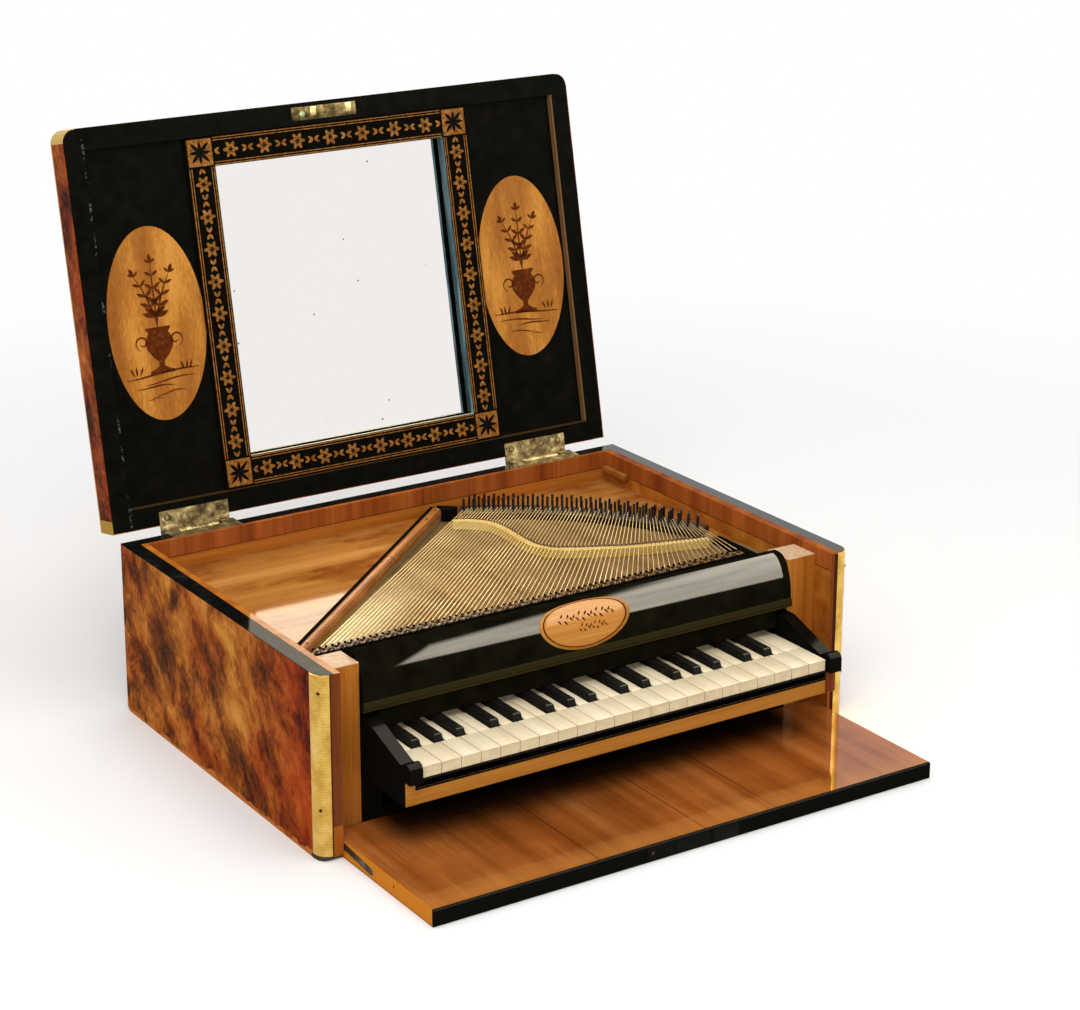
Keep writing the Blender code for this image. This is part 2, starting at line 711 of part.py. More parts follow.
def key_layout():
    """The keys from left to right: kind, head's left edge and lever's left and right edges."""
    keys = []
    left = -KEYS_HALF
    for group in KEY_GROUPS * OCTAVES + (("natural",),):
        naturals = group.count("natural")
        slot = naturals * NATURAL_PITCH / len(group)
        head_left = left
        for place, kind in enumerate(group):
            keys.append((kind, head_left, left + place * slot, left + (place + 1) * slot))
            if kind == "natural":
                head_left += NATURAL_PITCH
        left += naturals * NATURAL_PITCH
    return keys


def hammer_outline():
    """The hammer lying on the key's tail: fork, shank and leather-covered head."""
    base = KEY_TOP - SINK
    fork_back = KEY_BACK - HAMMER_SETBACK
    fork_front = fork_back - HAMMER_FORK_DEPTH
    fork_top = KEY_TOP + HAMMER_FORK_HEIGHT
    head_front = fork_front - HAMMER_REACH
    head_back = head_front + HAMMER_HEAD_DEPTH
    head_top = KEY_TOP + HAMMER_RISE
    head_bottom = head_top - HAMMER_HEAD_HEIGHT
    return [(fork_back, base), (fork_back, fork_top), (head_back, head_bottom + HAMMER_SHANK),
            (head_back, head_top), (head_front, head_top), (head_front, head_bottom),
            (fork_front, fork_top - HAMMER_SHANK), (fork_front, base)]


def natural_outline(head_left, lever_left, lever_right):
    """A natural key from above: a wide head in front of its narrower lever."""
    half_gap = KEY_GAP / 2
    left = head_left + half_gap
    right = head_left + NATURAL_PITCH - half_gap
    lever_left, lever_right = lever_left + half_gap, lever_right - half_gap
    head_back = KEY_FRONT + HEAD_LENGTH
    points = [(left, KEY_FRONT), (right, KEY_FRONT)]
    if right > lever_right + half_gap:
        points += [(right, head_back), (lever_right, head_back)]
    points += [(lever_right, KEY_BACK), (lever_left, KEY_BACK)]
    if lever_left > left + half_gap:
        points += [(lever_left, head_back), (left, head_back)]
    return points


def sharp_cap(name, lever_left, lever_right):
    """The raised black top of a sharp: narrower above, with a sloped nose."""
    half_gap = KEY_GAP / 2
    low = (lever_left + half_gap, SHARP_FRONT, KEY_TOP - SINK)
    high = (lever_right - half_gap, SHARP_FRONT + SHARP_LENGTH, KEY_TOP + SHARP_HEIGHT)
    cap = box(name, low, high)
    bm = bmesh.new()
    bm.from_mesh(cap.data)
    middle = (low[0] + high[0]) / 2
    top = [vertex for vertex in bm.verts if vertex.co.z > KEY_TOP]
    for vertex in top:
        vertex.co.x -= math.copysign(SHARP_TAPER, vertex.co.x - middle)
        if vertex.co.y < SHARP_FRONT + SHARP_LENGTH / 2:
            vertex.co.y += SHARP_NOSE
    edges = [edge for edge in bm.edges if any(vertex in top for vertex in edge.verts)]
    bmesh.ops.bevel(bm, geom=edges, offset=SHARP_EDGE, segments=1, profile=0.5, affect="EDGES")
    bm.to_mesh(cap.data)
    bm.free()
    return cap


def key(index, kind, head_left, lever_left, lever_right):
    """One key with its lever and hammer, hung on its balance pin."""
    name = f"key_{index + 1:02d}_{kind}"
    if kind == "natural":
        outline = natural_outline(head_left, lever_left, lever_right)
    else:
        left = lever_left + KEY_GAP / 2 + GLUE_GAP
        right = lever_right - KEY_GAP / 2 - GLUE_GAP
        front = SHARP_FRONT + RUNNING_GAP
        outline = [(left, front), (right, front), (right, KEY_BACK), (left, KEY_BACK)]
    piece = plate(name, outline, KEY_BOTTOM, KEY_TOP, "XY")
    if kind == "sharp":
        join(piece, sharp_cap(f"{name}_cap", lever_left, lever_right))
    middle = (lever_left + lever_right) / 2
    hammer = plate(f"{name}_hammer", hammer_outline(), middle - HAMMER_WIDTH / 2,
                   middle + HAMMER_WIDTH / 2, "YZ")
    join(piece, hammer)
    hole = rod(f"{name}_hole", BALANCE_HOLE_RADIUS, (middle, BALANCE_LINE, KEY_BOTTOM - FIT),
               (middle, BALANCE_LINE, KEY_BOTTOM + BALANCE_HOLE_DEPTH), 8)
    cut(piece, hole)
    finish_name = "bone" if kind == "natural" else "ebonised_wood"
    return dress(piece, finish_name, (middle, BALANCE_LINE, KEY_BOTTOM))


def cheek_outline():
    """The tray's cheek from the side: a sloped arm that ends in a small scroll."""
    scroll_front = KEY_FRONT - SCROLL_REACH
    scroll_low = KEY_BOTTOM + FIT
    scroll_top = scroll_low + SCROLL_HEIGHT
    scroll_back = scroll_front + SCROLL_DEPTH
    radius = SCROLL_DEPTH / 2
    crown = arc((scroll_front + radius, scroll_top - radius), radius, 180, 20, 6)
    tray_back = KEY_BACK + FIT
    cheek_back = KEY_FRONT + CHEEK_LENGTH
    tail = KEY_BOTTOM - CHEEK_TAIL_DROP
    return ([(RAIL_FRONT, TRAY_BOTTOM), (RAIL_FRONT, scroll_low), (scroll_front, scroll_low)]
            + crown
            + [(scroll_back + radius / 2, KEY_TOP + CHEEK_FRONT_RISE),
               (NAMEBOARD_FRONT - radius, CHEEK_TOP), (cheek_back, CHEEK_TOP),
               (cheek_back + radius, tail), (tray_back, tail), (tray_back, TRAY_BOTTOM)])


def key_tray(keys):
    """The tray that carries the keys: board, rails, balance pins and cheeks."""
    half = TRAY_HALF - CHEEK_THICKNESS / 2
    board = box("key_tray", (-half, RAIL_FRONT + GLUE_GAP, TRAY_BOTTOM + GLUE_GAP),
                (half, KEY_BACK, TRAY_BOTTOM + TRAY_BOARD))
    front_rail = box("tray_front_rail", (-half, RAIL_FRONT + 2 * GLUE_GAP,
                                         TRAY_BOTTOM + 2 * GLUE_GAP),
                     (half, RAIL_FRONT + FRONT_RAIL_DEPTH, KEY_BOTTOM - KEY_DIP_ROOM))
    rails = [front_rail]
    for name, middle in (("balance", BALANCE_LINE), ("back", KEY_BACK - KEY_RAIL_DEPTH)):
        rails.append(box(f"tray_{name}_rail",
                         (-half, middle - KEY_RAIL_DEPTH / 2, TRAY_BOTTOM + TRAY_BOARD - SINK),
                         (half, middle + KEY_RAIL_DEPTH / 2, KEY_BOTTOM - FIT)))
    for side in (-1, 1):
        low, high = sorted((side * (TRAY_HALF - CHEEK_THICKNESS), side * TRAY_HALF))
        rails.append(plate(f"tray_cheek_{side}", cheek_outline(), low, high, "YZ"))
    join(board, *rails)
    pins = []
    for index, (_kind, _head, lever_left, lever_right) in enumerate(keys):
        middle = (lever_left + lever_right) / 2
        pins.append(rod(f"balance_pin_{index}", BALANCE_PIN_RADIUS,
                        (middle, BALANCE_LINE, KEY_BOTTOM - SINK),
                        (middle, BALANCE_LINE, KEY_BOTTOM + BALANCE_HOLE_DEPTH - FIT), 6))
    join(board, many("balance_pins", pins))
    return dress(board, "light_wood", (0, KEY_FRONT, TRAY_BOTTOM))


def fall_outline():
    """The fall from the side, lying on the table: its back end is round about the pivot."""
    tip = 2 * FALL_PIVOT + FIT - CASE_HEIGHT
    rise = FALL_THICKNESS - FALL_PIVOT
    last = math.degrees(math.asin(rise / FALL_PIVOT))
    end = arc((FALL_PIVOT, FALL_PIVOT), FALL_PIVOT, -90, last, 10)
    return [(tip, FALL_EDGE), (tip + FALL_EDGE, 0)] + end + [
        (tip + FALL_EDGE, FALL_THICKNESS), (tip, FALL_THICKNESS - FALL_EDGE)]


def hinge_arm_outline(gap):
    """The knife hinge's arm from the side: from the pivot down into the fall's edge."""
    radius = HINGE_ARM_HALF_WIDTH + gap
    end = (FALL_PIVOT - HINGE_ARM_REACH, FALL_PIVOT - HINGE_ARM_DROP)
    slope = math.degrees(math.atan2(HINGE_ARM_DROP, HINGE_ARM_REACH))
    return (arc((FALL_PIVOT, FALL_PIVOT), radius, slope + 90, slope - 90, 6)
            + arc(end, radius, slope - 90, slope - 270, 6))


def fall_half_width():
    """Half the fall's width, between the side walls."""
    return INNER_HALF - FIT


def fall_front():
    """The fall-front, with seats for its two hinge arms."""
    half = fall_half_width()
    board = plate("fall_front", fall_outline(), -half, half, "YZ")
    for side in (-1, 1):
        low, high = sorted((side * (half - HINGE_ARM_THICKNESS - FIT), side * (half + FIT)))
        cut(board, plate(f"fall_hinge_seat_{side}", hinge_arm_outline(FIT), low, high, "YZ"))
    return dress(board, "honey_veneer", FALL_AXIS)


def fall_hinge(side):
    """A knife hinge's arm in the fall's edge, with the pin that turns in the side wall."""
    name = "fall_hinge_left" if side < 0 else "fall_hinge_right"
    half = fall_half_width()
    low, high = sorted((side * (half - HINGE_ARM_THICKNESS), side * half))
    arm = plate(name, hinge_arm_outline(0), low, high, "YZ")
    pin = rod(f"{name}_pin", FALL_PIN_RADIUS, (side * (half - FIT), *FALL_AXIS.yz),
              (side * (INNER_HALF + FALL_PIN_IN_WALL), *FALL_AXIS.yz), 12)
    join(arm, pin)
    return dress(arm, "aged_brass", FALL_AXIS)


def lid_panel():
    """The lid as it lies when shut: a shallow tray with a rim, and the mirror's well."""
    half, back = CASE_WIDTH / 2, CASE_DEPTH
    top = LID_BOTTOM + LID_THICKNESS

    def front_corner(middle, direction):
        return abs(direction.z) > 0.9 and middle.y < FIT

    board = rounded_box("lid_panel", (-half, 0, LID_BOTTOM), (half, back, top),
                        CORNER_RADIUS, 4, front_corner)
    crown = board.modifiers.new("crown", "BEVEL")
    crown.width = LID_EDGE
    crown.segments = 2
    crown.limit_method = "WEIGHT"
    mark_top_edges(board, top)
    recess = box("lid_recess", (LID_RIM - half, LID_RIM, LID_BOTTOM - FIT),
                 (half - LID_RIM, back - LID_RIM, LID_BOTTOM + LID_RECESS))
    well_low, well_high = mirror_corners(MIRROR_LAP + FIT)
    floor = LID_BOTTOM + LID_RECESS - MIRROR_FRAME_THICKNESS + MIRROR_DEPTH + MIRROR_THICKNESS
    well = box("lid_mirror_well", (*well_low, LID_BOTTOM), (*well_high, floor + FIT))
    cut(board, recess, well)
    for side in (-1, 1):
        seat_half = LID_HINGE_LENGTH / 2 + FIT
        middle = side * LID_HINGE_OFFSET
        cut(board, box(f"lid_hinge_seat_{side}",
                       (middle - seat_half, back - LID_HINGE_LEAF_REACH - FIT, LID_BOTTOM - FIT),
                       (middle + seat_half, back + FIT, LID_BOTTOM + LID_HINGE_LEAF + FIT)))
    return open_with_lid(dress(board, "ebonised_wood"))


def mark_top_edges(board, top):
    """Weigh the edges round the lid's outer face, so that the bevel takes only those."""
    weights = board.data.attributes.new("bevel_weight_edge", "FLOAT", "EDGE")
    for edge in board.data.edges:
        heights = [board.data.vertices[index].co.z for index in edge.vertices]
        weights.data[edge.index].value = 1.0 if min(heights) > top - FIT else 0.0


def mirror_corners(lap):
    """Two corners of the mirror frame's opening, grown by lap, on the shut lid."""
    half_width = MIRROR_FRAME_HALF_WIDTH - MIRROR_BAND + lap
    low = LID_RIM + MIRROR_BAND - lap
    return (-half_width, low), (half_width, CASE_DEPTH - low)


def mirror_frame():
    """The flat frame round the mirror, between the lid's two long rims."""
    far = LID_BOTTOM + LID_RECESS - FIT
    near = LID_BOTTOM + LID_RECESS - MIRROR_FRAME_THICKNESS
    low = LID_RIM + FIT
    frame = box("mirror_frame", (-MIRROR_FRAME_HALF_WIDTH, low, near),
                (MIRROR_FRAME_HALF_WIDTH, CASE_DEPTH - low, far))
    open_low, open_high = mirror_corners(0)
    cut(frame, box("mirror_frame_opening", (*open_low, near - FIT), (*open_high, far + FIT)))
    return open_with_lid(dress(frame, "ebonised_wood"))


def mirror_glass():
    """The mirror, sunk behind its frame on the floor of the well."""
    low, high = mirror_corners(MIRROR_LAP)
    near = LID_BOTTOM + LID_RECESS - MIRROR_FRAME_THICKNESS + MIRROR_DEPTH
    glass = box("mirror_glass", (*low, near), (*high, near + MIRROR_THICKNESS))
    return open_with_lid(dress(glass, "mirror_silvering"))


def hinge_leaf(name, middle, low, high, spans):
    """A hinge leaf and its knuckles, each span measured from the hinge's left end."""
    left = middle - LID_HINGE_LENGTH / 2
    leaf = box(name, (left, CASE_DEPTH - LID_HINGE_LEAF_REACH, low),
               (left + LID_HINGE_LENGTH, CASE_DEPTH + FIT, high))
    for number, (first, last) in enumerate(spans):
        start, end = left + first, left + last
        strap = box(f"{name}_strap_{number}", (start, CASE_DEPTH + FIT - LID_HINGE_LEAF, low),
                    (end, LID_HINGE_AXIS.y, high))
        web = box(f"{name}_web_{number}",
                  (start + GLUE_GAP, LID_HINGE_AXIS.y - LID_HINGE_LEAF, LID_HINGE_AXIS.z),
                  (end - GLUE_GAP, LID_HINGE_AXIS.y + GLUE_GAP, high - GLUE_GAP))
        knuckle = rod(f"{name}_knuckle_{number}", LID_HINGE_RADIUS, (start, *LID_HINGE_AXIS.yz),
                      (end, *LID_HINGE_AXIS.yz), 16)
        join(leaf, strap, web, knuckle)
    return leaf


def lid_hinge(side):
    """A lid hinge: the leaf on the case with its pin, and the leaf on the lid."""
    hand = "left" if side < 0 else "right"
    middle = side * LID_HINGE_OFFSET
    far = LID_HINGE_LENGTH - LID_HINGE_KNUCKLE
    case_leaf = hinge_leaf(f"lid_hinge_{hand}_case_leaf", middle, CASE_HEIGHT - LID_HINGE_LEAF,
                           CASE_HEIGHT, ((0, LID_HINGE_KNUCKLE), (far, LID_HINGE_LENGTH)))
    half = LID_HINGE_LENGTH / 2
    pin = rod(f"lid_hinge_{hand}_pin", LID_HINGE_PIN_RADIUS,
              (middle - half + FIT, *LID_HINGE_AXIS.yz), (middle + half - FIT, *LID_HINGE_AXIS.yz),
              10)
    join(case_leaf, pin)
    lid_leaf = hinge_leaf(f"lid_hinge_{hand}_lid_leaf", middle, LID_BOTTOM,
                          LID_BOTTOM + LID_HINGE_LEAF,
                          ((LID_HINGE_KNUCKLE + RUNNING_GAP, far - RUNNING_GAP),))
    bore = rod(f"lid_hinge_{hand}_bore", LID_HINGE_PIN_RADIUS + FIT,
               (middle - half, *LID_HINGE_AXIS.yz), (middle + half, *LID_HINGE_AXIS.yz), 10)
    cut(lid_leaf, bore)
    return dress(case_leaf, "aged_brass"), open_with_lid(dress(lid_leaf, "aged_brass"))


def open_with_lid(obj):
    """Hang a piece on the lid's axis and turn it from shut to standing open."""
    obj.data.transform(Matrix.Translation(-LID_HINGE_AXIS))
    obj.parent = LID_PIVOT
    return obj


def lid_pivot():
    """The empty on the lid's hinge axis, turned to where the lid stands open."""
    pivot = bpy.data.objects.new("lid_pivot", None)
    PARTS.objects.link(pivot)
    pivot.location = LID_HINGE_AXIS
    pivot.rotation_euler = (-math.radians(LID_OPEN_ANGLE), 0, 0)
    return pivot


def shade(obj):
    """Shade the rounded faces smooth and keep the arrises sharp."""
    obj.data.shade_smooth()
    obj.data.set_sharp_from_angle(angle=math.radians(35))


def stand_on_origin(collection):
    """Shift a collection's objects so that the origin lies under the middle of the case."""
    for obj in collection.objects:
        if obj.parent is None:
            obj.location.y -= CASE_DEPTH / 2


def build():
    """Build every piece of the piano."""
    for side in (-1, 1):
        case_side(side)
        post(side)
        fall_hinge(side)
        lid_hinge(side)
    case_back()
    case_bottom()
    nameboard()
    soundboard()
    harp_frame()
    wrest_plank()
    bridge()
    strings()
    fall_front()
    lid_panel()
    mirror_frame()
    mirror_glass()
    keys = key_layout()
    key_tray(keys)
    for index, layout in enumerate(keys):
        key(index, *layout)
    for obj in PARTS.objects:
        if obj.type == "MESH":
            shade(obj)


clear_scene()
PARTS = new_collection("travelling_piano")
CUTTERS = new_collection("cutters")
LID_PIVOT = lid_pivot()
build()
stand_on_origin(PARTS)
stand_on_origin(CUTTERS)
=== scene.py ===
# %% [markdown]
# # A travelling piano, dressed
# The piano's carcass, keys and hinges come as a finished model. This script gives each surface its
# finish and adds the thin things that sit on them: inlays, painted borders, brass strips and pins.
# All sizes are metres, +X is the player's right, +Y the back and +Z up. The model's origin lies
# under the middle of the case, and this script counts depths from the case's front edge.

# %% Load the model
import json
import math

import bmesh
import bpy
from mathutils import Matrix, Vector


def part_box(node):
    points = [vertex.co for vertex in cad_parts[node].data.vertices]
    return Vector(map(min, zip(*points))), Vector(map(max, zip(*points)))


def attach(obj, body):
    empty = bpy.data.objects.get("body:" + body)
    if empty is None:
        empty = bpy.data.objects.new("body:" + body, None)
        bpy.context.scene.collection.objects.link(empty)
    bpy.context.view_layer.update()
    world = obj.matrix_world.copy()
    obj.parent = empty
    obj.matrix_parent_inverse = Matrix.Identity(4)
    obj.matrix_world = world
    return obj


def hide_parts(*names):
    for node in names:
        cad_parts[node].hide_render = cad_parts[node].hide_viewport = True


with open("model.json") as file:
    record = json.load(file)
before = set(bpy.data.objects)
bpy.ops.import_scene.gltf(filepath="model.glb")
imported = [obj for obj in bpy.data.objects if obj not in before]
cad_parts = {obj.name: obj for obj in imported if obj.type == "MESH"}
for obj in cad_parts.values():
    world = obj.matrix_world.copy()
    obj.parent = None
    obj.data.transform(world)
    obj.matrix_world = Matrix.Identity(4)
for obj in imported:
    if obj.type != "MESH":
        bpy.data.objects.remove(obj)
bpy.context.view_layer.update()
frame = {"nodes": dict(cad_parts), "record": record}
MM = 0.001
FRONT_EDGE = Vector((0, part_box("case_left_side")[0][1], 0))


def box(name):
    """A node's lowest and highest corners, with the depth counted from the case's front edge."""
    low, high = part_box(name)
    return Vector(low) - FRONT_EDGE, Vector(high) - FRONT_EDGE


# %% [markdown]
# ## Colours and nodes
# Colours are written the way a paint program shows them, as sRGB hex values, and Blender wants
# them linear, so one function turns them. Every material is a small graph, and one function adds
# a node to it: sockets take a number or another node's output, and keywords set the node itself.

# %% Helpers for materials


def colour(text):
    """The linear colour of an sRGB hex value, with full alpha."""
    shares = [int(text[i:i + 2], 16) / 255 for i in (1, 3, 5)]
    linear = [s / 12.92 if s <= 0.04045 else ((s + 0.055) / 1.055) ** 2.4 for s in shares]
    return (*linear, 1.0)


def plug(tree, node, sockets):
    """Set a node's sockets, or link them where the value is another node's output."""
    for socket, value in sockets.items():
        if isinstance(value, bpy.types.NodeSocket):
            tree.links.new(value, node.inputs[socket])
        else:
            node.inputs[socket].default_value = value
    return node


def add(tree, kind, sockets=None, **settings):
    """Add a node with its settings and links."""
    node = tree.nodes.new("ShaderNode" + kind)
    for name, value in settings.items():
        setattr(node, name, value)
    return plug(tree, node, sockets or {})


def new_finish(name, **shader):
    """A material with a Principled shader whose plain sockets are set by name."""
    material = bpy.data.materials.new(name)
    material.use_nodes = True
    tree = material.node_tree
    names = {key.replace("_", " ").title().replace("Ior", "IOR"): value
             for key, value in shader.items()}
    plug(tree, tree.nodes["Principled BSDF"], names)
    return material, tree


def ramp(tree, factor, stops):
    """A colour ramp from (place, hex colour) pairs."""
    node = add(tree, "ValToRGB", {"Fac": factor})
    elements = node.color_ramp.elements
    for index, (place, text) in enumerate(stops):
        element = elements[index] if index < 2 else elements.new(place)
        element.position = place
        element.color = colour(text)
    return node.outputs["Color"]


def band(tree, value, low, high):
    """1 where the value lies between low and high, else 0."""
    return add(tree, "Math", {0: value, 1: (low + high) / 2, 2: (high - low) / 2},
               operation="COMPARE").outputs[0]


def paint(tree, mask, over, base):
    """The colour over laid on the colour base where the mask is 1."""
    return add(tree, "Mix", {0: mask, 6: base, 7: over}, data_type="RGBA").outputs[2]


def both(tree, first, second):
    """1 where both masks are 1."""
    return add(tree, "Math", {0: first, 1: second}, operation="MULTIPLY").outputs[0]


# %% [markdown]
# ## The camera
# The photograph was taken from the front left, a little above the lid's foot, with a long lens.
# Its place, aim and lens were worked out from the corners of the case, so the render lays over
# the photograph. The picture was cropped, which the lens shift repeats.

# %% Camera
PHOTO_WIDTH, PHOTO_HEIGHT = 1080, 1010
FOCAL_PIXELS = 2619.7
LENS_CENTRE = (444.1, 401.2)
CAMERA_PLACE = Vector((-0.8720, -1.2453, 0.7153)) + FRONT_EDGE
CAMERA_RIGHT = Vector((0.852412, -0.522812, -0.007857))
CAMERA_UP = Vector((0.157882, 0.243033, 0.957083))

camera_data = bpy.data.cameras.new("camera")
camera = bpy.data.objects.new("camera", camera_data)
bpy.context.scene.collection.objects.link(camera)
aim = Matrix((CAMERA_RIGHT, CAMERA_UP, CAMERA_RIGHT.cross(CAMERA_UP))).transposed()
camera.matrix_world = Matrix.Translation(CAMERA_PLACE) @ aim.to_4x4()
camera_data.sensor_fit = "HORIZONTAL"
camera_data.sensor_width = 36
camera_data.lens = FOCAL_PIXELS * camera_data.sensor_width / PHOTO_WIDTH
camera_data.shift_x = (PHOTO_WIDTH / 2 - LENS_CENTRE[0]) / PHOTO_WIDTH
camera_data.shift_y = (LENS_CENTRE[1] - PHOTO_HEIGHT / 2) / PHOTO_WIDTH
camera_data.clip_start = 0.05
camera_data.clip_end = 60
bpy.context.scene.camera = camera
bpy.context.scene.view_settings.view_transform = "Standard"
print("camera", round(camera_data.lens, 1), "mm")

# %% [markdown]
# ## Studio
# A product table: a round pale floor that fades into a white surround, so that no edge shows, with
# two large soft lamps over it and at its left. Two more boxes are there for the polish alone, as
# reflectors are in a photo studio: they give the black board over the keys its pale band, and the
# nearer one shows in the varnished deck by way of the mirror. They light nothing else.

# %% Floor, sky and lamps
FLOOR_RADIUS = 1.3
FADE_START = 0.42
SKY_LIGHT = 0.57


def studio_floor():
    """A round pale floor that takes the piano's shadow and fades out."""
    bm = bmesh.new()
    bmesh.ops.create_circle(bm, cap_ends=True, segments=96, radius=FLOOR_RADIUS)
    mesh = bpy.data.meshes.new("floor")
    bm.to_mesh(mesh)
    bm.free()
    floor = bpy.data.objects.new("floor", mesh)
    bpy.context.scene.collection.objects.link(floor)
    material, tree = new_finish("pale_floor", base_color=colour("#F8F7F6"), roughness=0.9,
                                specular_ior_level=0.1)
    place = add(tree, "TexCoord").outputs["Object"]
    reach = add(tree, "VectorMath", {0: place}, operation="LENGTH").outputs["Value"]
    fade = add(tree, "MapRange", {"Value": reach, "From Min": FADE_START,
                                  "From Max": FLOOR_RADIUS, "To Min": 1.0, "To Max": 0.0},
               interpolation_type="SMOOTHSTEP")
    plug(tree, tree.nodes["Principled BSDF"], {"Alpha": fade.outputs["Result"]})
    mesh.materials.append(material)


def sky():
    """White for the camera and in reflections, softer as a light."""
    world = bpy.data.worlds.new("studio")
    world.use_nodes = True
    bpy.context.scene.world = world
    tree = world.node_tree
    path = add(tree, "LightPath")
    seen = add(tree, "Math", {0: path.outputs["Is Camera Ray"], 1: path.outputs["Is Glossy Ray"]},
               operation="MAXIMUM").outputs[0]
    seen = add(tree, "Math", {0: seen, 1: path.outputs["Is Transmission Ray"]},
               operation="MAXIMUM").outputs[0]
    strength = add(tree, "MapRange", {"Value": seen, "To Min": SKY_LIGHT, "To Max": 1.0})
    plug(tree, tree.nodes["Background"],
         {"Color": colour("#FFFFFF"), "Strength": strength.outputs["Result"]})


def softbox(name, place, target, size, radiance, tint="#FFFFFF", spin=0):
    """A rectangular lamp, placed from the case's front edge, that looks at the target."""
    lamp = bpy.data.lights.new(name, "AREA")
    lamp.shape = "RECTANGLE"
    lamp.size, lamp.size_y = size
    lamp.energy = 4 * radiance * size[0] * size[1]
    lamp.color = colour(tint)[:3]
    holder = bpy.data.objects.new(name, lamp)
    bpy.context.scene.collection.objects.link(holder)
    holder.location = Vector(place) + FRONT_EDGE
    aim = (Vector(target) - Vector(place)).to_track_quat("-Z", "Y").to_matrix()
    holder.rotation_euler = (aim @ Matrix.Rotation(math.radians(spin), 3, "Z")).to_euler()
    holder.visible_camera = False
    return holder


def reflector(name, place, size, radiance, tint, spin=0):
    """A box over the piano that only polished surfaces show."""
    below = (place[0], place[1], 0)
    holder = softbox(name, place, below, size, radiance, tint, spin)
    holder.visible_diffuse = False


studio_floor()
sky()
softbox("left_softbox", (-1.3, -1.4, 2.0), (0, 0.1, 0.1), (1.4, 1.4), 3.7)
softbox("top_softbox", (0.1, -0.2, 2.4), (0.1, -0.2, 0), (1.6, 1.6), 1.95)
reflector("near_reflector", (1.1, -0.4, 1.5), (1.1, 2.7), 22, "#FFF3DC", 8.7)
reflector("far_reflector", (1.85, -2.35, 1.5), (1.3, 2.0), 22, "#FFF3DC", 19)
print("floor, sky, two lamps and two reflectors")

# %% [markdown]
# ## Making and placing the thin pieces
# Most pieces added here are flat outlines a fraction of a millimetre thick, or small turned
# heads. They are built in bmesh, bevelled, and set on the body they belong to. What sits on the
# lid is drawn as if the lid were shut and then swung open by the lid's own hinge angle.

# %% Helpers for pieces
joints = {joint["name"]: joint for joint in frame["record"]["behaviour"]["joints"]}
LID_AXIS = Vector(joints["lid_hinge"]["pos_m"]) - FRONT_EDGE
LID_ANGLE = math.radians(joints["lid_hinge"]["range_deg"][1])
OPEN_LID = (Matrix.Translation(LID_AXIS) @ Matrix.Rotation(-LID_ANGLE, 4, "X")
            @ Matrix.Translation(-LID_AXIS))
IDENTITY = Matrix.Identity(4)


def place_piece(name, bm, material, body, turn=IDENTITY, smooth=40):
    """Make an object of the bmesh, finish it and let it ride on a body."""
    bmesh.ops.transform(bm, matrix=Matrix.Translation(FRONT_EDGE) @ turn, verts=bm.verts)
    bmesh.ops.recalc_face_normals(bm, faces=bm.faces)
    mesh = bpy.data.meshes.new(name)
    bm.to_mesh(mesh)
    bm.free()
    mesh.materials.append(material)
    mesh.shade_smooth()
    mesh.set_sharp_from_angle(angle=math.radians(smooth))
    piece = bpy.data.objects.new(name, mesh)
    bpy.context.scene.collection.objects.link(piece)
    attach(piece, body)
    return piece


def slab(bm, points, low, high):
    """A flat outline in XY made thick from low to high."""
    bottom = [bm.verts.new((x, y, low)) for x, y in points]
    face = bm.faces.new(bottom)
    lifted = bmesh.ops.extrude_face_region(bm, geom=[face])
    verts = [item for item in lifted["geom"] if isinstance(item, bmesh.types.BMVert)]
    bmesh.ops.translate(bm, vec=(0, 0, high - low), verts=verts)


def block(bm, low, high, edge=0.0):
    """A box between two corners, with its edges eased."""
    low, high = Vector(low), Vector(high)
    size = Matrix.Diagonal((*(high - low), 1))
    made = bmesh.ops.create_cube(bm, size=1, matrix=Matrix.Translation((low + high) / 2) @ size)
    if edge:
        edges = list({e for vert in made["verts"] for e in vert.link_edges})
        bmesh.ops.bevel(bm, geom=edges, offset=edge, segments=2, profile=0.5, affect="EDGES")


def stud(bm, place, along, radius, height, sides=12, top=0.75):
    """A low round head standing on place, pointing along a direction."""
    along = Vector(along).normalized()
    turn = along.to_track_quat("Z", "Y").to_matrix().to_4x4()
    middle = Vector(place) + along * height / 2
    bmesh.ops.create_cone(bm, cap_ends=True, segments=sides, radius1=radius,
                          radius2=radius * top, depth=height,
                          matrix=Matrix.Translation(middle) @ turn)


def ellipse(centre, half_width, half_height, steps=64):
    """Points round an ellipse."""
    points = []
    for step in range(steps):
        angle = 2 * math.pi * step / steps
        points.append((centre[0] + half_width * math.cos(angle),
                       centre[1] + half_height * math.sin(angle)))
    return points


# %% [markdown]
# ## Where things are
# The main measures are read from the model's own nodes, so that the finishes and the inlays stay
# where the wood is.

# %% Measures of the model
SIDE_LOW, SIDE_HIGH = box("case_left_side")
BACK_LOW, BACK_HIGH = box("case_back")
DECK_LOW, DECK_HIGH = box("soundboard")
FALL_LOW, FALL_HIGH = box("fall_front")
BOARD_LOW, BOARD_HIGH = box("nameboard")
POST_LOW, POST_HIGH = box("post_left")
RAIL_LOW, RAIL_HIGH = box("harp_frame")
OUTER_HALF = -SIDE_LOW[0]
INNER_HALF = -POST_LOW[0]
INNER_BACK = BACK_HIGH[1] - 12 * MM
CASE_TOP = SIDE_HIGH[2]
CASE_BACK = SIDE_HIGH[1]
DECK_TOP = DECK_HIGH[2]
LID_BOTTOM = CASE_TOP + 0.3 * MM
LID_THICKNESS = 23 * MM
LID_RIM = 15 * MM
LID_RECESS = 4 * MM
print("inside", round(2 * INNER_HALF / MM), "mm wide, deck at", round(DECK_TOP / MM), "mm")

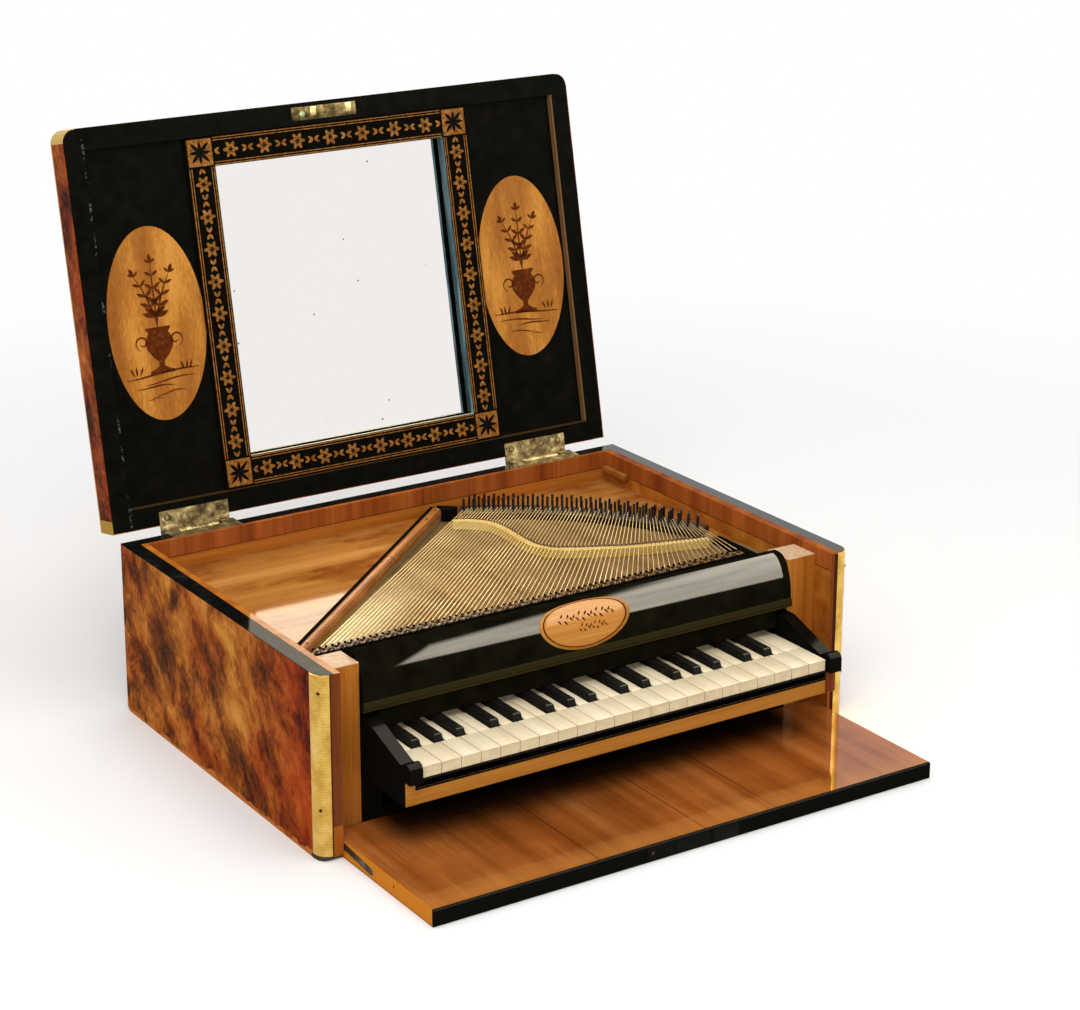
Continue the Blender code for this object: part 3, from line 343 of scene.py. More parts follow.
# %% [markdown]
# ## Veneer
# The case is pine covered with thin sheets of showy wood: burl on the outside, plainer honey
# coloured fruitwood inside and on the fall. Burl has no straight grain, only clouds and dark eyes,
# so it is noise bent by other noise. Straight veneer is noise stretched along the grain. Both lie
# under French polish, which is shellac: a clear coat with a sharp shine.

# %% Veneer patterns


def rail_line():
    """The slanted rail's two ends, found from the strings' corner and the case."""
    start = Vector((-INNER_HALF + 3.5 * MM, RAIL_LOW[1] + 6.3 * MM))
    corner = Vector((INNER_HALF - 152 * MM, INNER_BACK - 10 * MM))
    return start, corner


SHELLAC_IOR = 1.52
BURL_CLOUD = (34 * MM, 22 * MM, 34 * MM)
BURL_FIBRE = (3.0 * MM, 2.8 * MM, 5 * MM)
FIBRE_LEAN = -12
CLOUD_LEAN = -34
KNOT_SPACING = 46 * MM
GRAIN_WIDTH = 1.1 * MM
GRAIN_LENGTH = 60 * MM


def figure(tree, coords, lean, size, detail, rough):
    """Noise drawn out along a leaning axis: its size is in metres, its lean in degrees."""
    turned = add(tree, "Mapping", {"Vector": coords, "Rotation": (math.radians(lean), 0, 0),
                                   "Scale": size}, vector_type="TEXTURE").outputs[0]
    return add(tree, "TexNoise", {"Vector": turned, "Scale": 1.0, "Detail": detail,
                                  "Roughness": rough}).outputs["Fac"]


def burl(tree, coords, stops, turn=0):
    """Clouded burl with fine leaning fibres, a few dark knots and redder places."""
    bend = add(tree, "TexNoise", {"Vector": coords, "Scale": 1 / (40 * MM), "Detail": 3})
    bent = add(tree, "VectorMath", {0: bend.outputs["Color"], 1: (0.03, 0.03, 0.03)},
               operation="MULTIPLY")
    moved = add(tree, "VectorMath", {0: coords, 1: bent.outputs[0]}, operation="ADD").outputs[0]
    cloud = figure(tree, moved, CLOUD_LEAN + turn, BURL_CLOUD, 6, 0.6)
    fibre = figure(tree, moved, FIBRE_LEAN + turn, BURL_FIBRE, 5, 0.65)
    knots = add(tree, "TexVoronoi", {"Vector": moved, "Scale": 1 / KNOT_SPACING})
    knot = add(tree, "MapRange", {"Value": knots.outputs["Distance"], "From Min": 0.04,
                                  "From Max": 0.21, "To Min": -0.17, "To Max": 0.0},
               interpolation_type="SMOOTHSTEP")
    tone = add(tree, "Mix", {0: 0.28, 2: cloud, 3: fibre}).outputs[0]
    tone = add(tree, "Math", {0: tone, 1: knot.outputs["Result"]}, operation="ADD").outputs[0]
    face = ramp(tree, tone, stops)
    ruddy = figure(tree, coords, turn, (45 * MM, 45 * MM, 45 * MM), 2, 0.5)
    ruddy = add(tree, "MapRange", {"Value": ruddy, "From Min": 0.46, "From Max": 0.68,
                                   "To Min": 0.0, "To Max": 0.6}).outputs["Result"]
    face = add(tree, "Mix", {0: ruddy, 6: face, 7: colour("#E08048")}, data_type="RGBA",
               blend_type="MULTIPLY").outputs[2]
    return face, tone


def straight_grain(tree, coords, along, stops):
    """Fine straight grain along one axis, with broader slow changes of tone."""
    squeeze = [1 / GRAIN_WIDTH] * 3
    squeeze["XYZ".index(along)] = 1 / GRAIN_LENGTH
    scaled = add(tree, "Mapping", {"Vector": coords, "Scale": squeeze}).outputs[0]
    fine = add(tree, "TexNoise", {"Vector": scaled, "Scale": 1.0, "Detail": 4, "Roughness": 0.6})
    slow = add(tree, "Mapping", {"Vector": coords, "Scale": [s / 14 for s in squeeze]}).outputs[0]
    broad = add(tree, "TexNoise", {"Vector": slow, "Scale": 1.0, "Detail": 2})
    tone = add(tree, "Mix", {0: 0.62, 2: fine.outputs["Fac"], 3: broad.outputs["Fac"]}).outputs[0]
    return ramp(tree, tone, stops), tone


def relief(tree, height, depth, strength=0.3):
    """A bump of that depth from a height value."""
    return add(tree, "Bump", {"Height": height, "Distance": depth,
                              "Strength": strength}).outputs["Normal"]


def object_coords(tree):
    """The place on the piece, and the same split into its three parts."""
    place = add(tree, "TexCoord").outputs["Object"]
    place = add(tree, "VectorMath", {0: place, 1: FRONT_EDGE}, operation="SUBTRACT").outputs[0]
    parts = add(tree, "SeparateXYZ", {0: place}).outputs
    return place, parts[0], parts[1], parts[2]


BURL_TONES = ((0.34, "#351A08"), (0.42, "#5E300E"), (0.475, "#844614"), (0.52, "#A05C1E"),
              (0.57, "#B67028"), (0.66, "#CC8C3C"))
HONEY_TONES = ((0.30, "#7A3C12"), (0.45, "#904C1C"), (0.56, "#A05A26"), (0.70, "#B26E36"))
AMBER_TONES = ((0.30, "#8A4814"), (0.46, "#A65F1E"), (0.58, "#BA7228"), (0.72, "#D08C3C"))
DECK_TONES = ((0.30, "#8E561F"), (0.46, "#A2682C"), (0.58, "#B07638"), (0.72, "#BE884A"))
BARE_DECK_TONES = ((0.30, "#6E5436"), (0.50, "#886B48"), (0.70, "#A08258"))
WALL_END_TONES = ((0.30, "#5E2C10"), (0.50, "#7A3E18"), (0.70, "#8E4E22"))
CROSSBAND_TONES = ((0.34, "#783A18"), (0.46, "#964C1E"), (0.56, "#A85A26"), (0.70, "#BC6E32"))

# %% [markdown]
# ## The case
# Three finishes meet on each wall: burl outside, a black painted rim on top, and inside a red
# crossband over amber veneer. The walls are single solids, so one material picks the finish by
# the place on the wall. The rim has worn to grey where hands and the lid rub it.

# %% Case walls
RIM_DEPTH = 0.4 * MM
RIM_LININGS = (4.5 * MM, 6 * MM, 3 * MM)
CROSSBAND_HEIGHT = 12 * MM
LIT_FOOT = 22 * MM
RED_DEPTH = 110 * MM
CHIPPED_FOOT = 3.2 * MM
STRIP_EDGES = (7.4 * MM, 10.6 * MM)


def burl_wall(tree, place, depth, height):
    """Burl that reddens towards the front, with a chipped and paler foot, and painted shadow at the
    foot of the front corner.
    """
    wall, tone = burl(tree, place, BURL_TONES)
    reddish = add(tree, "MapRange", {"Value": depth, "From Min": 0.0, "From Max": RED_DEPTH,
                                     "To Min": 1.0, "To Max": 0.0}).outputs["Result"]
    wall = add(tree, "Mix", {0: reddish, 6: wall, 7: colour("#D8703C")},
               data_type="RGBA", blend_type="MULTIPLY").outputs[2]
    chips = add(tree, "TexNoise", {"Vector": place, "Scale": 1 / (14 * MM), "Detail": 6})
    chips = add(tree, "MapRange", {"Value": chips.outputs["Fac"], "From Min": 0.35,
                                   "From Max": 0.65, "To Min": 0.2 * MM,
                                   "To Max": CHIPPED_FOOT * 1.6}).outputs["Result"]
    chipped = add(tree, "Math", {0: height, 1: chips}, operation="LESS_THAN").outputs[0]
    wall = paint(tree, chipped, colour("#B86C2C"), wall)
    # painted shadow: the lowest few millimetres of the wall by the front corner are dark grey-brown,
    # for the shade under the brass strip's foot
    corner = both(tree, band(tree, height, -1, CHIPPED_FOOT), band(tree, depth, -1, 13 * MM))
    return paint(tree, corner, colour("#4A3A2E"), wall), tone


def wall_end(tree, place, across, height):
    """The front end of a side wall beside its brass strip: a painted shadow line along the strip, then
    red-brown, with painted light at its foot.
    """
    end, _tone = straight_grain(tree, place, "Z", WALL_END_TONES)
    # painted light: the foot of the wall's end is lighter, for the light that the polished fall throws
    # up on it
    end = paint(tree, band(tree, height, 0, LIT_FOOT), colour("#A2561C"), end)
    # painted shadow: a dark line on each wall's end beside its brass strip, for the shade in the gap by
    # the strip
    left_shadow_line = band(tree, across, -1, STRIP_EDGES[0] + 1.2 * MM - OUTER_HALF)
    right_shadow_line = band(tree, across, OUTER_HALF - STRIP_EDGES[1] - 2.4 * MM, 1)
    end = paint(tree, left_shadow_line, colour("#45200B"), end)
    return paint(tree, right_shadow_line, colour("#45200B"), end)


def lined_rim(tree, place, across, depth, crossband, amber):
    """The black painted rim and the wooden lining inside it, with a mask of the black part."""
    rub = add(tree, "TexNoise", {"Vector": place, "Scale": 1 / (9 * MM), "Detail": 5})
    black = ramp(tree, rub.outputs["Fac"], ((0.35, "#0B0B0A"), (0.60, "#141513"),
                                            (0.78, "#332E26")))
    left, right, rear = RIM_LININGS
    lining = both(tree, band(tree, across, -INNER_HALF - left, INNER_HALF + right),
                  band(tree, depth, -1, INNER_BACK + rear))
    outer = add(tree, "Math", {0: 1.0, 1: lining}, operation="SUBTRACT").outputs[0]
    wood = paint(tree, band(tree, across, -1, -INNER_HALF), amber, crossband)
    return paint(tree, lining, wood, black), outer


def case_finish():
    """Burl outside, ebonised rim, crossband and amber veneer inside."""
    material, tree = new_finish("french_polished_burl", roughness=0.4, coat_roughness=0.05,
                                coat_ior=SHELLAC_IOR, specular_ior_level=0.0)
    place, across, depth, height = object_coords(tree)
    side = add(tree, "Math", {0: across}, operation="ABSOLUTE").outputs[0]
    outside, tone = burl_wall(tree, place, depth, height)
    amber, _tone = straight_grain(tree, place, "X", AMBER_TONES)
    crossband, _tone = straight_grain(tree, place, "Z", CROSSBAND_TONES)
    band_foot = CASE_TOP - CROSSBAND_HEIGHT
    inner = paint(tree, band(tree, height, band_foot, CASE_TOP), crossband, amber)
    inner = paint(tree, band(tree, height, band_foot - 0.6 * MM, band_foot), colour("#5A2A0C"),
                  inner)
    within = both(tree, band(tree, side, -1, INNER_HALF + 0.3 * MM),
                  band(tree, depth, -1, INNER_BACK + 0.3 * MM))
    mixed = paint(tree, within, inner, outside)
    at_front = band(tree, depth, -1 * MM, 0.4 * MM)
    mixed = paint(tree, at_front, wall_end(tree, place, across, height), mixed)
    rim, black_part = lined_rim(tree, place, across, depth, crossband, amber)
    on_rim = band(tree, height, CASE_TOP - RIM_DEPTH, CASE_TOP + RIM_DEPTH)
    mixed = paint(tree, on_rim, rim, mixed)
    rubbed = add(tree, "MapRange", {"Value": across, "From Min": -INNER_HALF,
                                    "From Max": INNER_HALF, "To Min": 0.048, "To Max": 0.9})
    polish = add(tree, "MapRange", {"Value": both(tree, on_rim, black_part), "To Min": 0.08,
                                    "To Max": rubbed.outputs["Result"]})
    pores = add(tree, "MapRange", {"Value": on_rim, "To Min": 0.2, "To Max": 0.0})
    plug(tree, tree.nodes["Principled BSDF"],
         {"Base Color": mixed, "Coat Weight": polish.outputs["Result"],
          "Normal": relief(tree, tone, 0.08 * MM, pores.outputs["Result"])})
    return material


def straight_finish(name, along, stops, roughness=0.38, coat=0.2, coat_roughness=0.07):
    """A polished straight-grained veneer."""
    material, tree = new_finish(name, roughness=roughness, coat_weight=coat,
                                coat_roughness=coat_roughness, coat_ior=SHELLAC_IOR,
                                specular_ior_level=0.03)
    place = object_coords(tree)[0]
    face, tone = straight_grain(tree, place, along, stops)
    plug(tree, tree.nodes["Principled BSDF"],
         {"Base Color": face, "Normal": relief(tree, tone, 0.05 * MM)})
    return material


def post_finish():
    """Fruitwood posts with a paler end grain on top."""
    material, tree = new_finish("polished_fruitwood_post", roughness=0.38, coat_weight=0.06,
                                coat_roughness=0.12, coat_ior=SHELLAC_IOR,
                                specular_ior_level=0.0)
    place, _across, _depth, height = object_coords(tree)
    face, _tone = straight_grain(tree, place, "Z", AMBER_TONES)
    end = ramp(tree, add(tree, "TexNoise", {"Vector": place, "Scale": 1 / (4 * MM), "Detail": 5})
               .outputs["Fac"], ((0.30, "#C29A74"), (0.70, "#D6B592")))
    face = paint(tree, band(tree, height, POST_HIGH[2] - RIM_DEPTH, 1), end, face)
    plug(tree, tree.nodes["Principled BSDF"], {"Base Color": face})
    return material


def dress_node(material, *names):
    """Give CAD nodes a material."""
    for name in names:
        slots = frame["nodes"][name].material_slots
        for slot in slots:
            slot.material = material


burl_case = case_finish()
amber_post = post_finish()
dress_node(burl_case, "case_left_side", "case_right_side", "case_back")
dress_node(amber_post, "post_left", "post_right")
print("case and posts dressed")

# %% [markdown]
# ## Ebonised wood and lacquer
# The nameboard, the rails and the floor are pear wood stained black and polished. Black polish
# isn't black paper: it shows fine brush lines and small scratches, and the room in it.

# %% Black finishes


def right_of_rail(tree, place):
    """How far a place lies on the strings' side of the slanted rail's middle line."""
    start, corner = rail_line()
    along = (corner - start).normalized()
    reach = start.x * along.y - start.y * along.x
    across = add(tree, "VectorMath", {0: place, 1: (along.y, -along.x, 0)},
                 operation="DOT_PRODUCT").outputs["Value"]
    return add(tree, "Math", {0: across, 1: reach}, operation="SUBTRACT").outputs[0]


def before_pins(tree, place):
    """1 on the strings' side of the curved plank that holds the tuning pins."""
    spread = add(tree, "VectorMath", {0: place, 1: PIN_CURVE_MIDDLE},
                 operation="DISTANCE").outputs["Value"]
    return band(tree, spread, -1, PIN_CURVE_RADIUS)


def bare_deck(tree, place, depth):
    """Bare soundboard: paler where light reaches under the first strings, darker at the back."""
    plain, _tone = straight_grain(tree, place, "Y", BARE_DECK_TONES)
    shade = add(tree, "MapRange", {"Value": depth, "From Min": 0.13, "From Max": 0.20,
                                   "To Min": 0.0, "To Max": 0.45}).outputs["Result"]
    plain = paint(tree, shade, colour("#4E3A20"), plain)
    near_rail = add(tree, "MapRange", {"Value": right_of_rail(tree, place), "From Min": 6 * MM,
                                       "From Max": 48 * MM, "To Min": 1.0, "To Max": 0.0},
                    interpolation_type="SMOOTHSTEP").outputs["Result"]
    near_front = add(tree, "MapRange", {"Value": depth, "From Min": 0.10, "From Max": 0.18,
                                        "To Min": 0.85, "To Max": 0.0},
                     interpolation_type="SMOOTHSTEP").outputs["Result"]
    return paint(tree, both(tree, near_rail, near_front), colour("#E6D2A4"), plain)


def deck_finish():
    """Varnish outside the rail and the pins, and a bare, duller soundboard under the strings."""
    material, tree = new_finish("varnished_deck", roughness=0.35, coat_roughness=0.06,
                                coat_ior=SHELLAC_IOR, specular_ior_level=0.0)
    place, _across, depth, _height = object_coords(tree)
    varnished, tone = straight_grain(tree, place, "X", DECK_TONES)
    clouds = figure(tree, place, 0, (70 * MM, 30 * MM, 30 * MM), 4, 0.6)
    clouds = add(tree, "MapRange", {"Value": clouds, "From Min": 0.36, "From Max": 0.5,
                                    "To Min": 0.75, "To Max": 0.0}).outputs["Result"]
    varnished = add(tree, "Mix", {0: clouds, 6: varnished, 7: colour("#B98A58")},
                    data_type="RGBA", blend_type="MULTIPLY").outputs[2]
    bare = both(tree, band(tree, right_of_rail(tree, place), 0, 1), before_pins(tree, place))
    plain = bare_deck(tree, place, depth)
    gloss = add(tree, "MapRange", {"Value": bare, "To Min": 0.165, "To Max": 0.0})
    plug(tree, tree.nodes["Principled BSDF"],
         {"Base Color": paint(tree, bare, plain, varnished),
          "Coat Weight": gloss.outputs["Result"], "Normal": relief(tree, tone, 0.05 * MM)})
    return material


def harp_finish():
    """Black rails, with the pale liner that stands under the batten on the strings' side."""
    material, tree = new_finish("black_harp_rails", roughness=0.4, specular_ior_level=0.0)
    place, _across, depth, height = object_coords(tree)
    wear = add(tree, "TexNoise", {"Vector": place, "Scale": 1 / (12 * MM), "Detail": 6})
    face = ramp(tree, wear.outputs["Fac"], ((0.35, "#0B0A07"), (0.62, "#12110C"),
                                            (0.80, "#241C12")))
    liner = both(tree, band(tree, right_of_rail(tree, place), 4.2 * MM, 4.8 * MM),
                 band(tree, height, DECK_TOP, DECK_TOP + 5.2 * MM))
    liner = both(tree, liner, band(tree, depth, RAIL_LOW[1] + 16 * MM, INNER_BACK - 16 * MM))
    plug(tree, tree.nodes["Principled BSDF"],
         {"Base Color": paint(tree, liner, colour("#A88A5A"), face)})
    return material


def ebony_finish(name, roughness=0.2, specular=0.08):
    """Black polish with faint wear."""
    material, tree = new_finish(name, roughness=roughness, specular_ior_level=specular)
    place = object_coords(tree)[0]
    wear = add(tree, "TexNoise", {"Vector": place, "Scale": 1 / (12 * MM), "Detail": 8,
                                  "Roughness": 0.7})
    face = ramp(tree, wear.outputs["Fac"], ((0.35, "#0B0A07"), (0.62, "#13120C"),
                                            (0.80, "#2A2013")))
    plug(tree, tree.nodes["Principled BSDF"],
         {"Base Color": face, "Normal": relief(tree, wear.outputs["Fac"], 0.05 * MM, 0.2)})
    return material


def round_normal(tree, depth, height):
    """The even curve of the nameboard's face, eased to a slower turn, and where it lies."""
    sine = add(tree, "MapRange", {"Value": height, "From Min": BEAD_HIGH, "From Max": BOARD_HIGH[2],
                                  "To Min": 0.42, "To Max": 0.975}).outputs["Result"]
    square = add(tree, "Math", {0: sine, 1: 2.0}, operation="POWER").outputs[0]
    rest = add(tree, "Math", {0: 1.0, 1: square}, operation="SUBTRACT").outputs[0]
    cosine = add(tree, "Math", {0: rest, 1: 0.5}, operation="POWER").outputs[0]
    out = add(tree, "Math", {0: cosine, 1: -1 / FACE_BULGE}, operation="MULTIPLY").outputs[0]
    rise = add(tree, "Math", {0: sine, 1: BOARD_HIGH[2] - BEAD_HIGH}, operation="DIVIDE").outputs[0]
    curve = add(tree, "CombineXYZ", {1: out, 2: rise}).outputs[0]
    curve = add(tree, "VectorMath", {0: curve}, operation="NORMALIZE").outputs[0]
    on_curve = both(tree, band(tree, height, BEAD_HIGH + 0.2 * MM, 1),
                    band(tree, depth, -1, FACE_FRONT + FACE_BULGE + 0.1 * MM))
    flat = add(tree, "NewGeometry").outputs["Normal"]
    normal = add(tree, "Mix", {0: on_curve, 4: flat, 5: curve}, data_type="VECTOR").outputs[1]
    return normal, on_curve


def polished_share(tree, across, height):
    """The part of the curve that still has its polish: a long band that runs out to the left."""
    low = add(tree, "Math", {0: across, 1: 0.010, 2: height}, operation="MULTIPLY_ADD").outputs[0]
    low = add(tree, "MapRange", {"Value": low, "From Min": 105.6 * MM, "From Max": 106.8 * MM},
              interpolation_type="SMOOTHSTEP").outputs["Result"]
    slope = add(tree, "Math", {0: across, 1: 0.02, 2: 116.5 * MM},
                operation="MULTIPLY_ADD").outputs[0]
    taper = add(tree, "Math", {0: across, 1: 0.26, 2: 109 * MM + 0.132 * 0.26},
                operation="MULTIPLY_ADD").outputs[0]
    limit = add(tree, "Math", {0: slope, 1: taper}, operation="MINIMUM").outputs[0]
    over = add(tree, "Math", {0: height, 1: limit}, operation="SUBTRACT").outputs[0]
    high = add(tree, "MapRange", {"Value": over, "From Min": -1.8 * MM, "From Max": 0.9 * MM,
                                  "To Min": 1.0, "To Max": 0.0},
               interpolation_type="SMOOTHSTEP").outputs["Result"]
    return both(tree, both(tree, low, high), band(tree, across, -1, 156.8 * MM))


def nameboard_finish():
    """Black polish with a dark olive bead along the foot of the curved face."""
    material, tree = new_finish("polished_black_nameboard", roughness=0.06)
    place, across, depth, height = object_coords(tree)
    wear = add(tree, "TexNoise", {"Vector": place, "Scale": 1 / (15 * MM), "Detail": 8})
    face = ramp(tree, wear.outputs["Fac"], ((0.35, "#0E0D07"), (0.7, "#1A180D")))
    on_bead = both(tree, band(tree, height, BEAD_LOW, BEAD_HIGH), band(tree, depth, -1, BEAD_BACK))
    face = paint(tree, on_bead, colour("#2E2814"), face)
    foot = both(tree, band(tree, height, BEAD_LOW, BEAD_LOW + 1.6 * MM),
                band(tree, depth, -1, BEAD_BACK))
    face = paint(tree, foot, colour("#41341C"), face)
    normal, on_curve = round_normal(tree, depth, height)
    polished = both(tree, on_curve, polished_share(tree, across, height))
    streaks = add(tree, "Mapping", {"Vector": place, "Scale": (9, 160, 160)}).outputs[0]
    streaks = add(tree, "TexNoise", {"Vector": streaks, "Scale": 1.0, "Detail": 3})
    streaks = add(tree, "MapRange", {"Value": streaks.outputs["Fac"], "From Min": 0.3,
                                     "From Max": 0.6, "To Min": 0.09, "To Max": 0.15})
    gloss = both(tree, polished, streaks.outputs["Result"])
    plug(tree, tree.nodes["Principled BSDF"],
         {"Base Color": face, "Normal": normal, "Specular IOR Level": gloss})
    return material


def wrest_plank_finish():
    """Black plank with blued steel pins standing out of it."""
    material, tree = new_finish("blued_steel_pins", roughness=0.35, specular_ior_level=0.3)
    place, _across, _depth, height = object_coords(tree)
    pin = band(tree, height, PLANK_TOP + 0.2 * MM, 1)
    wear = add(tree, "TexNoise", {"Vector": place, "Scale": 1 / (2 * MM), "Detail": 3})
    steel = ramp(tree, wear.outputs["Fac"], ((0.35, "#1E1C20"), (0.65, "#46424A")))
    plug(tree, tree.nodes["Principled BSDF"],
         {"Base Color": paint(tree, pin, steel, colour("#14110D")), "Metallic": pin})
    return material


PLANK_TOP = DECK_TOP + 5 * MM
PIN_CURVE_MIDDLE = (-50.5 * MM, 28.0 * MM, DECK_TOP)
PIN_CURVE_RADIUS = 244 * MM
BEAD_LOW = BOARD_LOW[2] + 13 * MM
BEAD_HIGH = BEAD_LOW + 6.5 * MM
BEAD_BACK = BOARD_LOW[1] + 3 * MM
FACE_FRONT = BOARD_LOW[1] + 1.8 * MM
FACE_BULGE = 13.5 * MM
ebony = ebony_finish("ebonised_wood", 0.25, 0.0)
lacquer = ebony_finish("black_lacquer", 0.22, 0.01)
dress_node(deck_finish(), "soundboard")
dress_node(nameboard_finish(), "nameboard")
dress_node(ebony, "case_bottom")
dress_node(harp_finish(), "harp_frame")
dress_node(wrest_plank_finish(), "wrest_plank")
print("deck, nameboard, floor and harp dressed")

# %% [markdown]
# ## The lid
# Outside, the lid is veneered like the case. Its inside and its rim are black lacquer. The finish
# is picked in the shut lid's own axes: the place on the piece is turned back by the hinge angle.

# %% Lid panel


def shut_coords(tree):
    """The place on the lid as if it were shut, whole and in its three parts."""
    turn = (Matrix.Translation(FRONT_EDGE) @ OPEN_LID).inverted()
    place = add(tree, "TexCoord").outputs["Object"]
    shut = add(tree, "Mapping", {"Vector": place, "Location": turn.to_translation(),
                                 "Rotation": turn.to_euler()}).outputs[0]
    parts = add(tree, "SeparateXYZ", {0: shut}).outputs
    return shut, parts[0], parts[1], parts[2]


def rounded_corner(tree, side, depth):
    """The upright faces of the lid's two rounded front corners."""
    across = add(tree, "Math", {0: side, 1: OUTER_HALF - CORNER_RADIUS},
                 operation="SUBTRACT").outputs[0]
    forward = add(tree, "Math", {0: CORNER_RADIUS, 1: depth}, operation="SUBTRACT").outputs[0]
    reach = add(tree, "CombineXYZ", {0: across, 1: forward}).outputs[0]
    reach = add(tree, "VectorMath", {0: reach}, operation="LENGTH").outputs["Value"]
    near = both(tree, band(tree, across, 0, 1), band(tree, forward, 0, 1))
    return both(tree, near, band(tree, reach, CORNER_RADIUS - EDGE, 1))


def lid_edge(tree, shut, side, depth, height):
    """The edge veneer, with a cream line of painted highlight by the outer face, amber corners painted
    lighter at the front for the light there, and a black front.
    """
    edge, _tone = burl(tree, shut, EDGE_TONES, LID_TURN)
    # painted highlight: a cream line along the edge by the outer face, where the edge catches the light
    cream = band(tree, height, LID_BOTTOM + LID_THICKNESS - 4.2 * MM, 1)
    edge = paint(tree, cream, colour("#CFAE74"), edge)
    middle = CASE_BACK / 2
    from_middle = add(tree, "Math", {0: depth, 1: middle}, operation="SUBTRACT").outputs[0]
    from_middle = add(tree, "Math", {0: from_middle}, operation="ABSOLUTE").outputs[0]
    corner = both(tree, band(tree, side, OUTER_HALF - 10 * MM, 1),
                  band(tree, from_middle, middle - 9 * MM, 1))
    # painted light: the corners by the front are a lighter amber than those by the hinge, for the light
    # that falls on them
    tone = paint(tree, band(tree, depth, -1, middle), colour("#D0AC60"), colour("#AC8434"))
    edge = paint(tree, corner, tone, edge)
    front = both(tree, band(tree, depth, -EDGE, EDGE),
                 band(tree, side, -EDGE, OUTER_HALF - 10 * MM))
    return paint(tree, front, colour("#17140C"), edge)


def lid_inside(tree, shut, across, side, depth):
    """Black lacquer with a gilt line and painted light along the recess's right and bottom edges, a
    scratched left rim and the painted mirror pocket.
    """
    wear = add(tree, "TexNoise", {"Vector": shut, "Scale": 1 / (10 * MM), "Detail": 8})
    black = ramp(tree, wear.outputs["Fac"], ((0.35, "#0B0A06"), (0.66, "#12110B"),
                                             (0.85, "#241D12")))
    inner = OUTER_HALF - LID_RIM
    # partly a gilt line, partly painted light: the pale line is drawn only along the recess's right
    # edge and its edge by the hinge, where the recess catches the light
    line = both(tree, band(tree, across, inner - 0.3 * MM, inner + 1.1 * MM),
                band(tree, depth, LID_RIM, CASE_BACK - LID_RIM))
    black = paint(tree, line, colour("#7A5A38"), black)
    # the same painted light along the recess's edge by the hinge
    foot = both(tree, band(tree, depth, CASE_BACK - LID_RIM - 0.2 * MM, CASE_BACK - LID_RIM + 0.7 * MM),
                band(tree, side, 0, inner))
    black = paint(tree, foot, colour("#453019"), black)
    scratch = add(tree, "TexNoise", {"Vector": shut, "Scale": 1 / (13 * MM), "Detail": 7,
                                     "Roughness": 0.75})
    scratch = add(tree, "Math", {0: scratch.outputs["Fac"], 1: 0.56}, operation="GREATER_THAN")
    scratch = both(tree, scratch.outputs[0], band(tree, across, -inner - 1.6 * MM, -inner + 0.4 * MM))
    black = paint(tree, scratch, colour("#4E554C"), black)
    pocket = both(tree, band(tree, side, -1, POCKET_HALF),
                  band(tree, depth, POCKET_FRONT, POCKET_REAR))
    streak, _tone = straight_grain(tree, place_of(tree), "Z", REBATE_TONES)
    return paint(tree, pocket, streak, black)


def lid_finish():
    """Veneer on the outside and the edges, black lacquer inside."""
    material, tree = new_finish("lacquered_lid", roughness=0.2, specular_ior_level=0.01)
    shut, across, depth, height = shut_coords(tree)
    side = add(tree, "Math", {0: across}, operation="ABSOLUTE").outputs[0]
    outside, tone = burl(tree, shut, BURL_TONES, LID_TURN)
    broad = both(tree, band(tree, side, -1, OUTER_HALF - EDGE),
                 band(tree, depth, EDGE, CASE_BACK - EDGE))
    flat = add(tree, "Math", {0: 1.0, 1: rounded_corner(tree, side, depth)},
               operation="SUBTRACT").outputs[0]
    broad = both(tree, broad, flat)
    face = paint(tree, broad, outside, lid_edge(tree, shut, side, depth, height))
    inside = both(tree, broad, band(tree, height, 0, LID_BOTTOM + LID_THICKNESS * 0.4))
    face = paint(tree, inside, lid_inside(tree, shut, across, side, depth), face)
    plug(tree, tree.nodes["Principled BSDF"],
         {"Base Color": face, "Normal": relief(tree, tone, 0.04 * MM, 0.12)})
    return material


def place_of(tree):
    """The place on the piece alone."""
    return object_coords(tree)[0]


LID_TURN = -80
CORNER_RADIUS = 9 * MM
EDGE = 0.5 * MM
EDGE_TONES = ((0.36, "#1E0B04"), (0.44, "#5A260A"), (0.51, "#8A3F12"), (0.58, "#A9581E"),
              (0.68, "#CE8A45"))
MIRROR_LOW, MIRROR_HIGH = 15 * MM, 257 * MM
FRAME_BAND = 21 * MM
OPENING_HALF = 90.5 * MM
OPENING_FRONT, OPENING_REAR = MIRROR_LOW + FRAME_BAND, MIRROR_HIGH - FRAME_BAND
MIRROR_LAP = 4 * MM
POCKET_HALF = OPENING_HALF + MIRROR_LAP
POCKET_FRONT, POCKET_REAR = OPENING_FRONT - MIRROR_LAP, OPENING_REAR + MIRROR_LAP
REBATE_TONES = ((0.35, "#2A3C44"), (0.5, "#55747E"), (0.7, "#8CA6AA"))
dress_node(lid_finish(), "lid_panel")

# %% [markdown]
# ## The mirror
# Old mirror glass is silvered on the back. It is a little grey, and a few spots show where the
# silver has lifted. The spots are voronoi cells far smaller than their spacing.

# %% Mirror


def mirror_finish():
    """Silvered glass with a few dark spots."""
    material, tree = new_finish("silvered_glass", metallic=1.0, roughness=0.015)
    shut = shut_coords(tree)[0]
    spots = add(tree, "TexVoronoi", {"Vector": shut, "Scale": 1 / (17 * MM)})
    spot = add(tree, "Math", {0: spots.outputs["Distance"], 1: 0.045}, operation="LESS_THAN")
    face = paint(tree, spot.outputs[0], colour("#7D7A76"), colour("#F0ECE9"))
    plug(tree, tree.nodes["Principled BSDF"], {"Base Color": face})
    return material


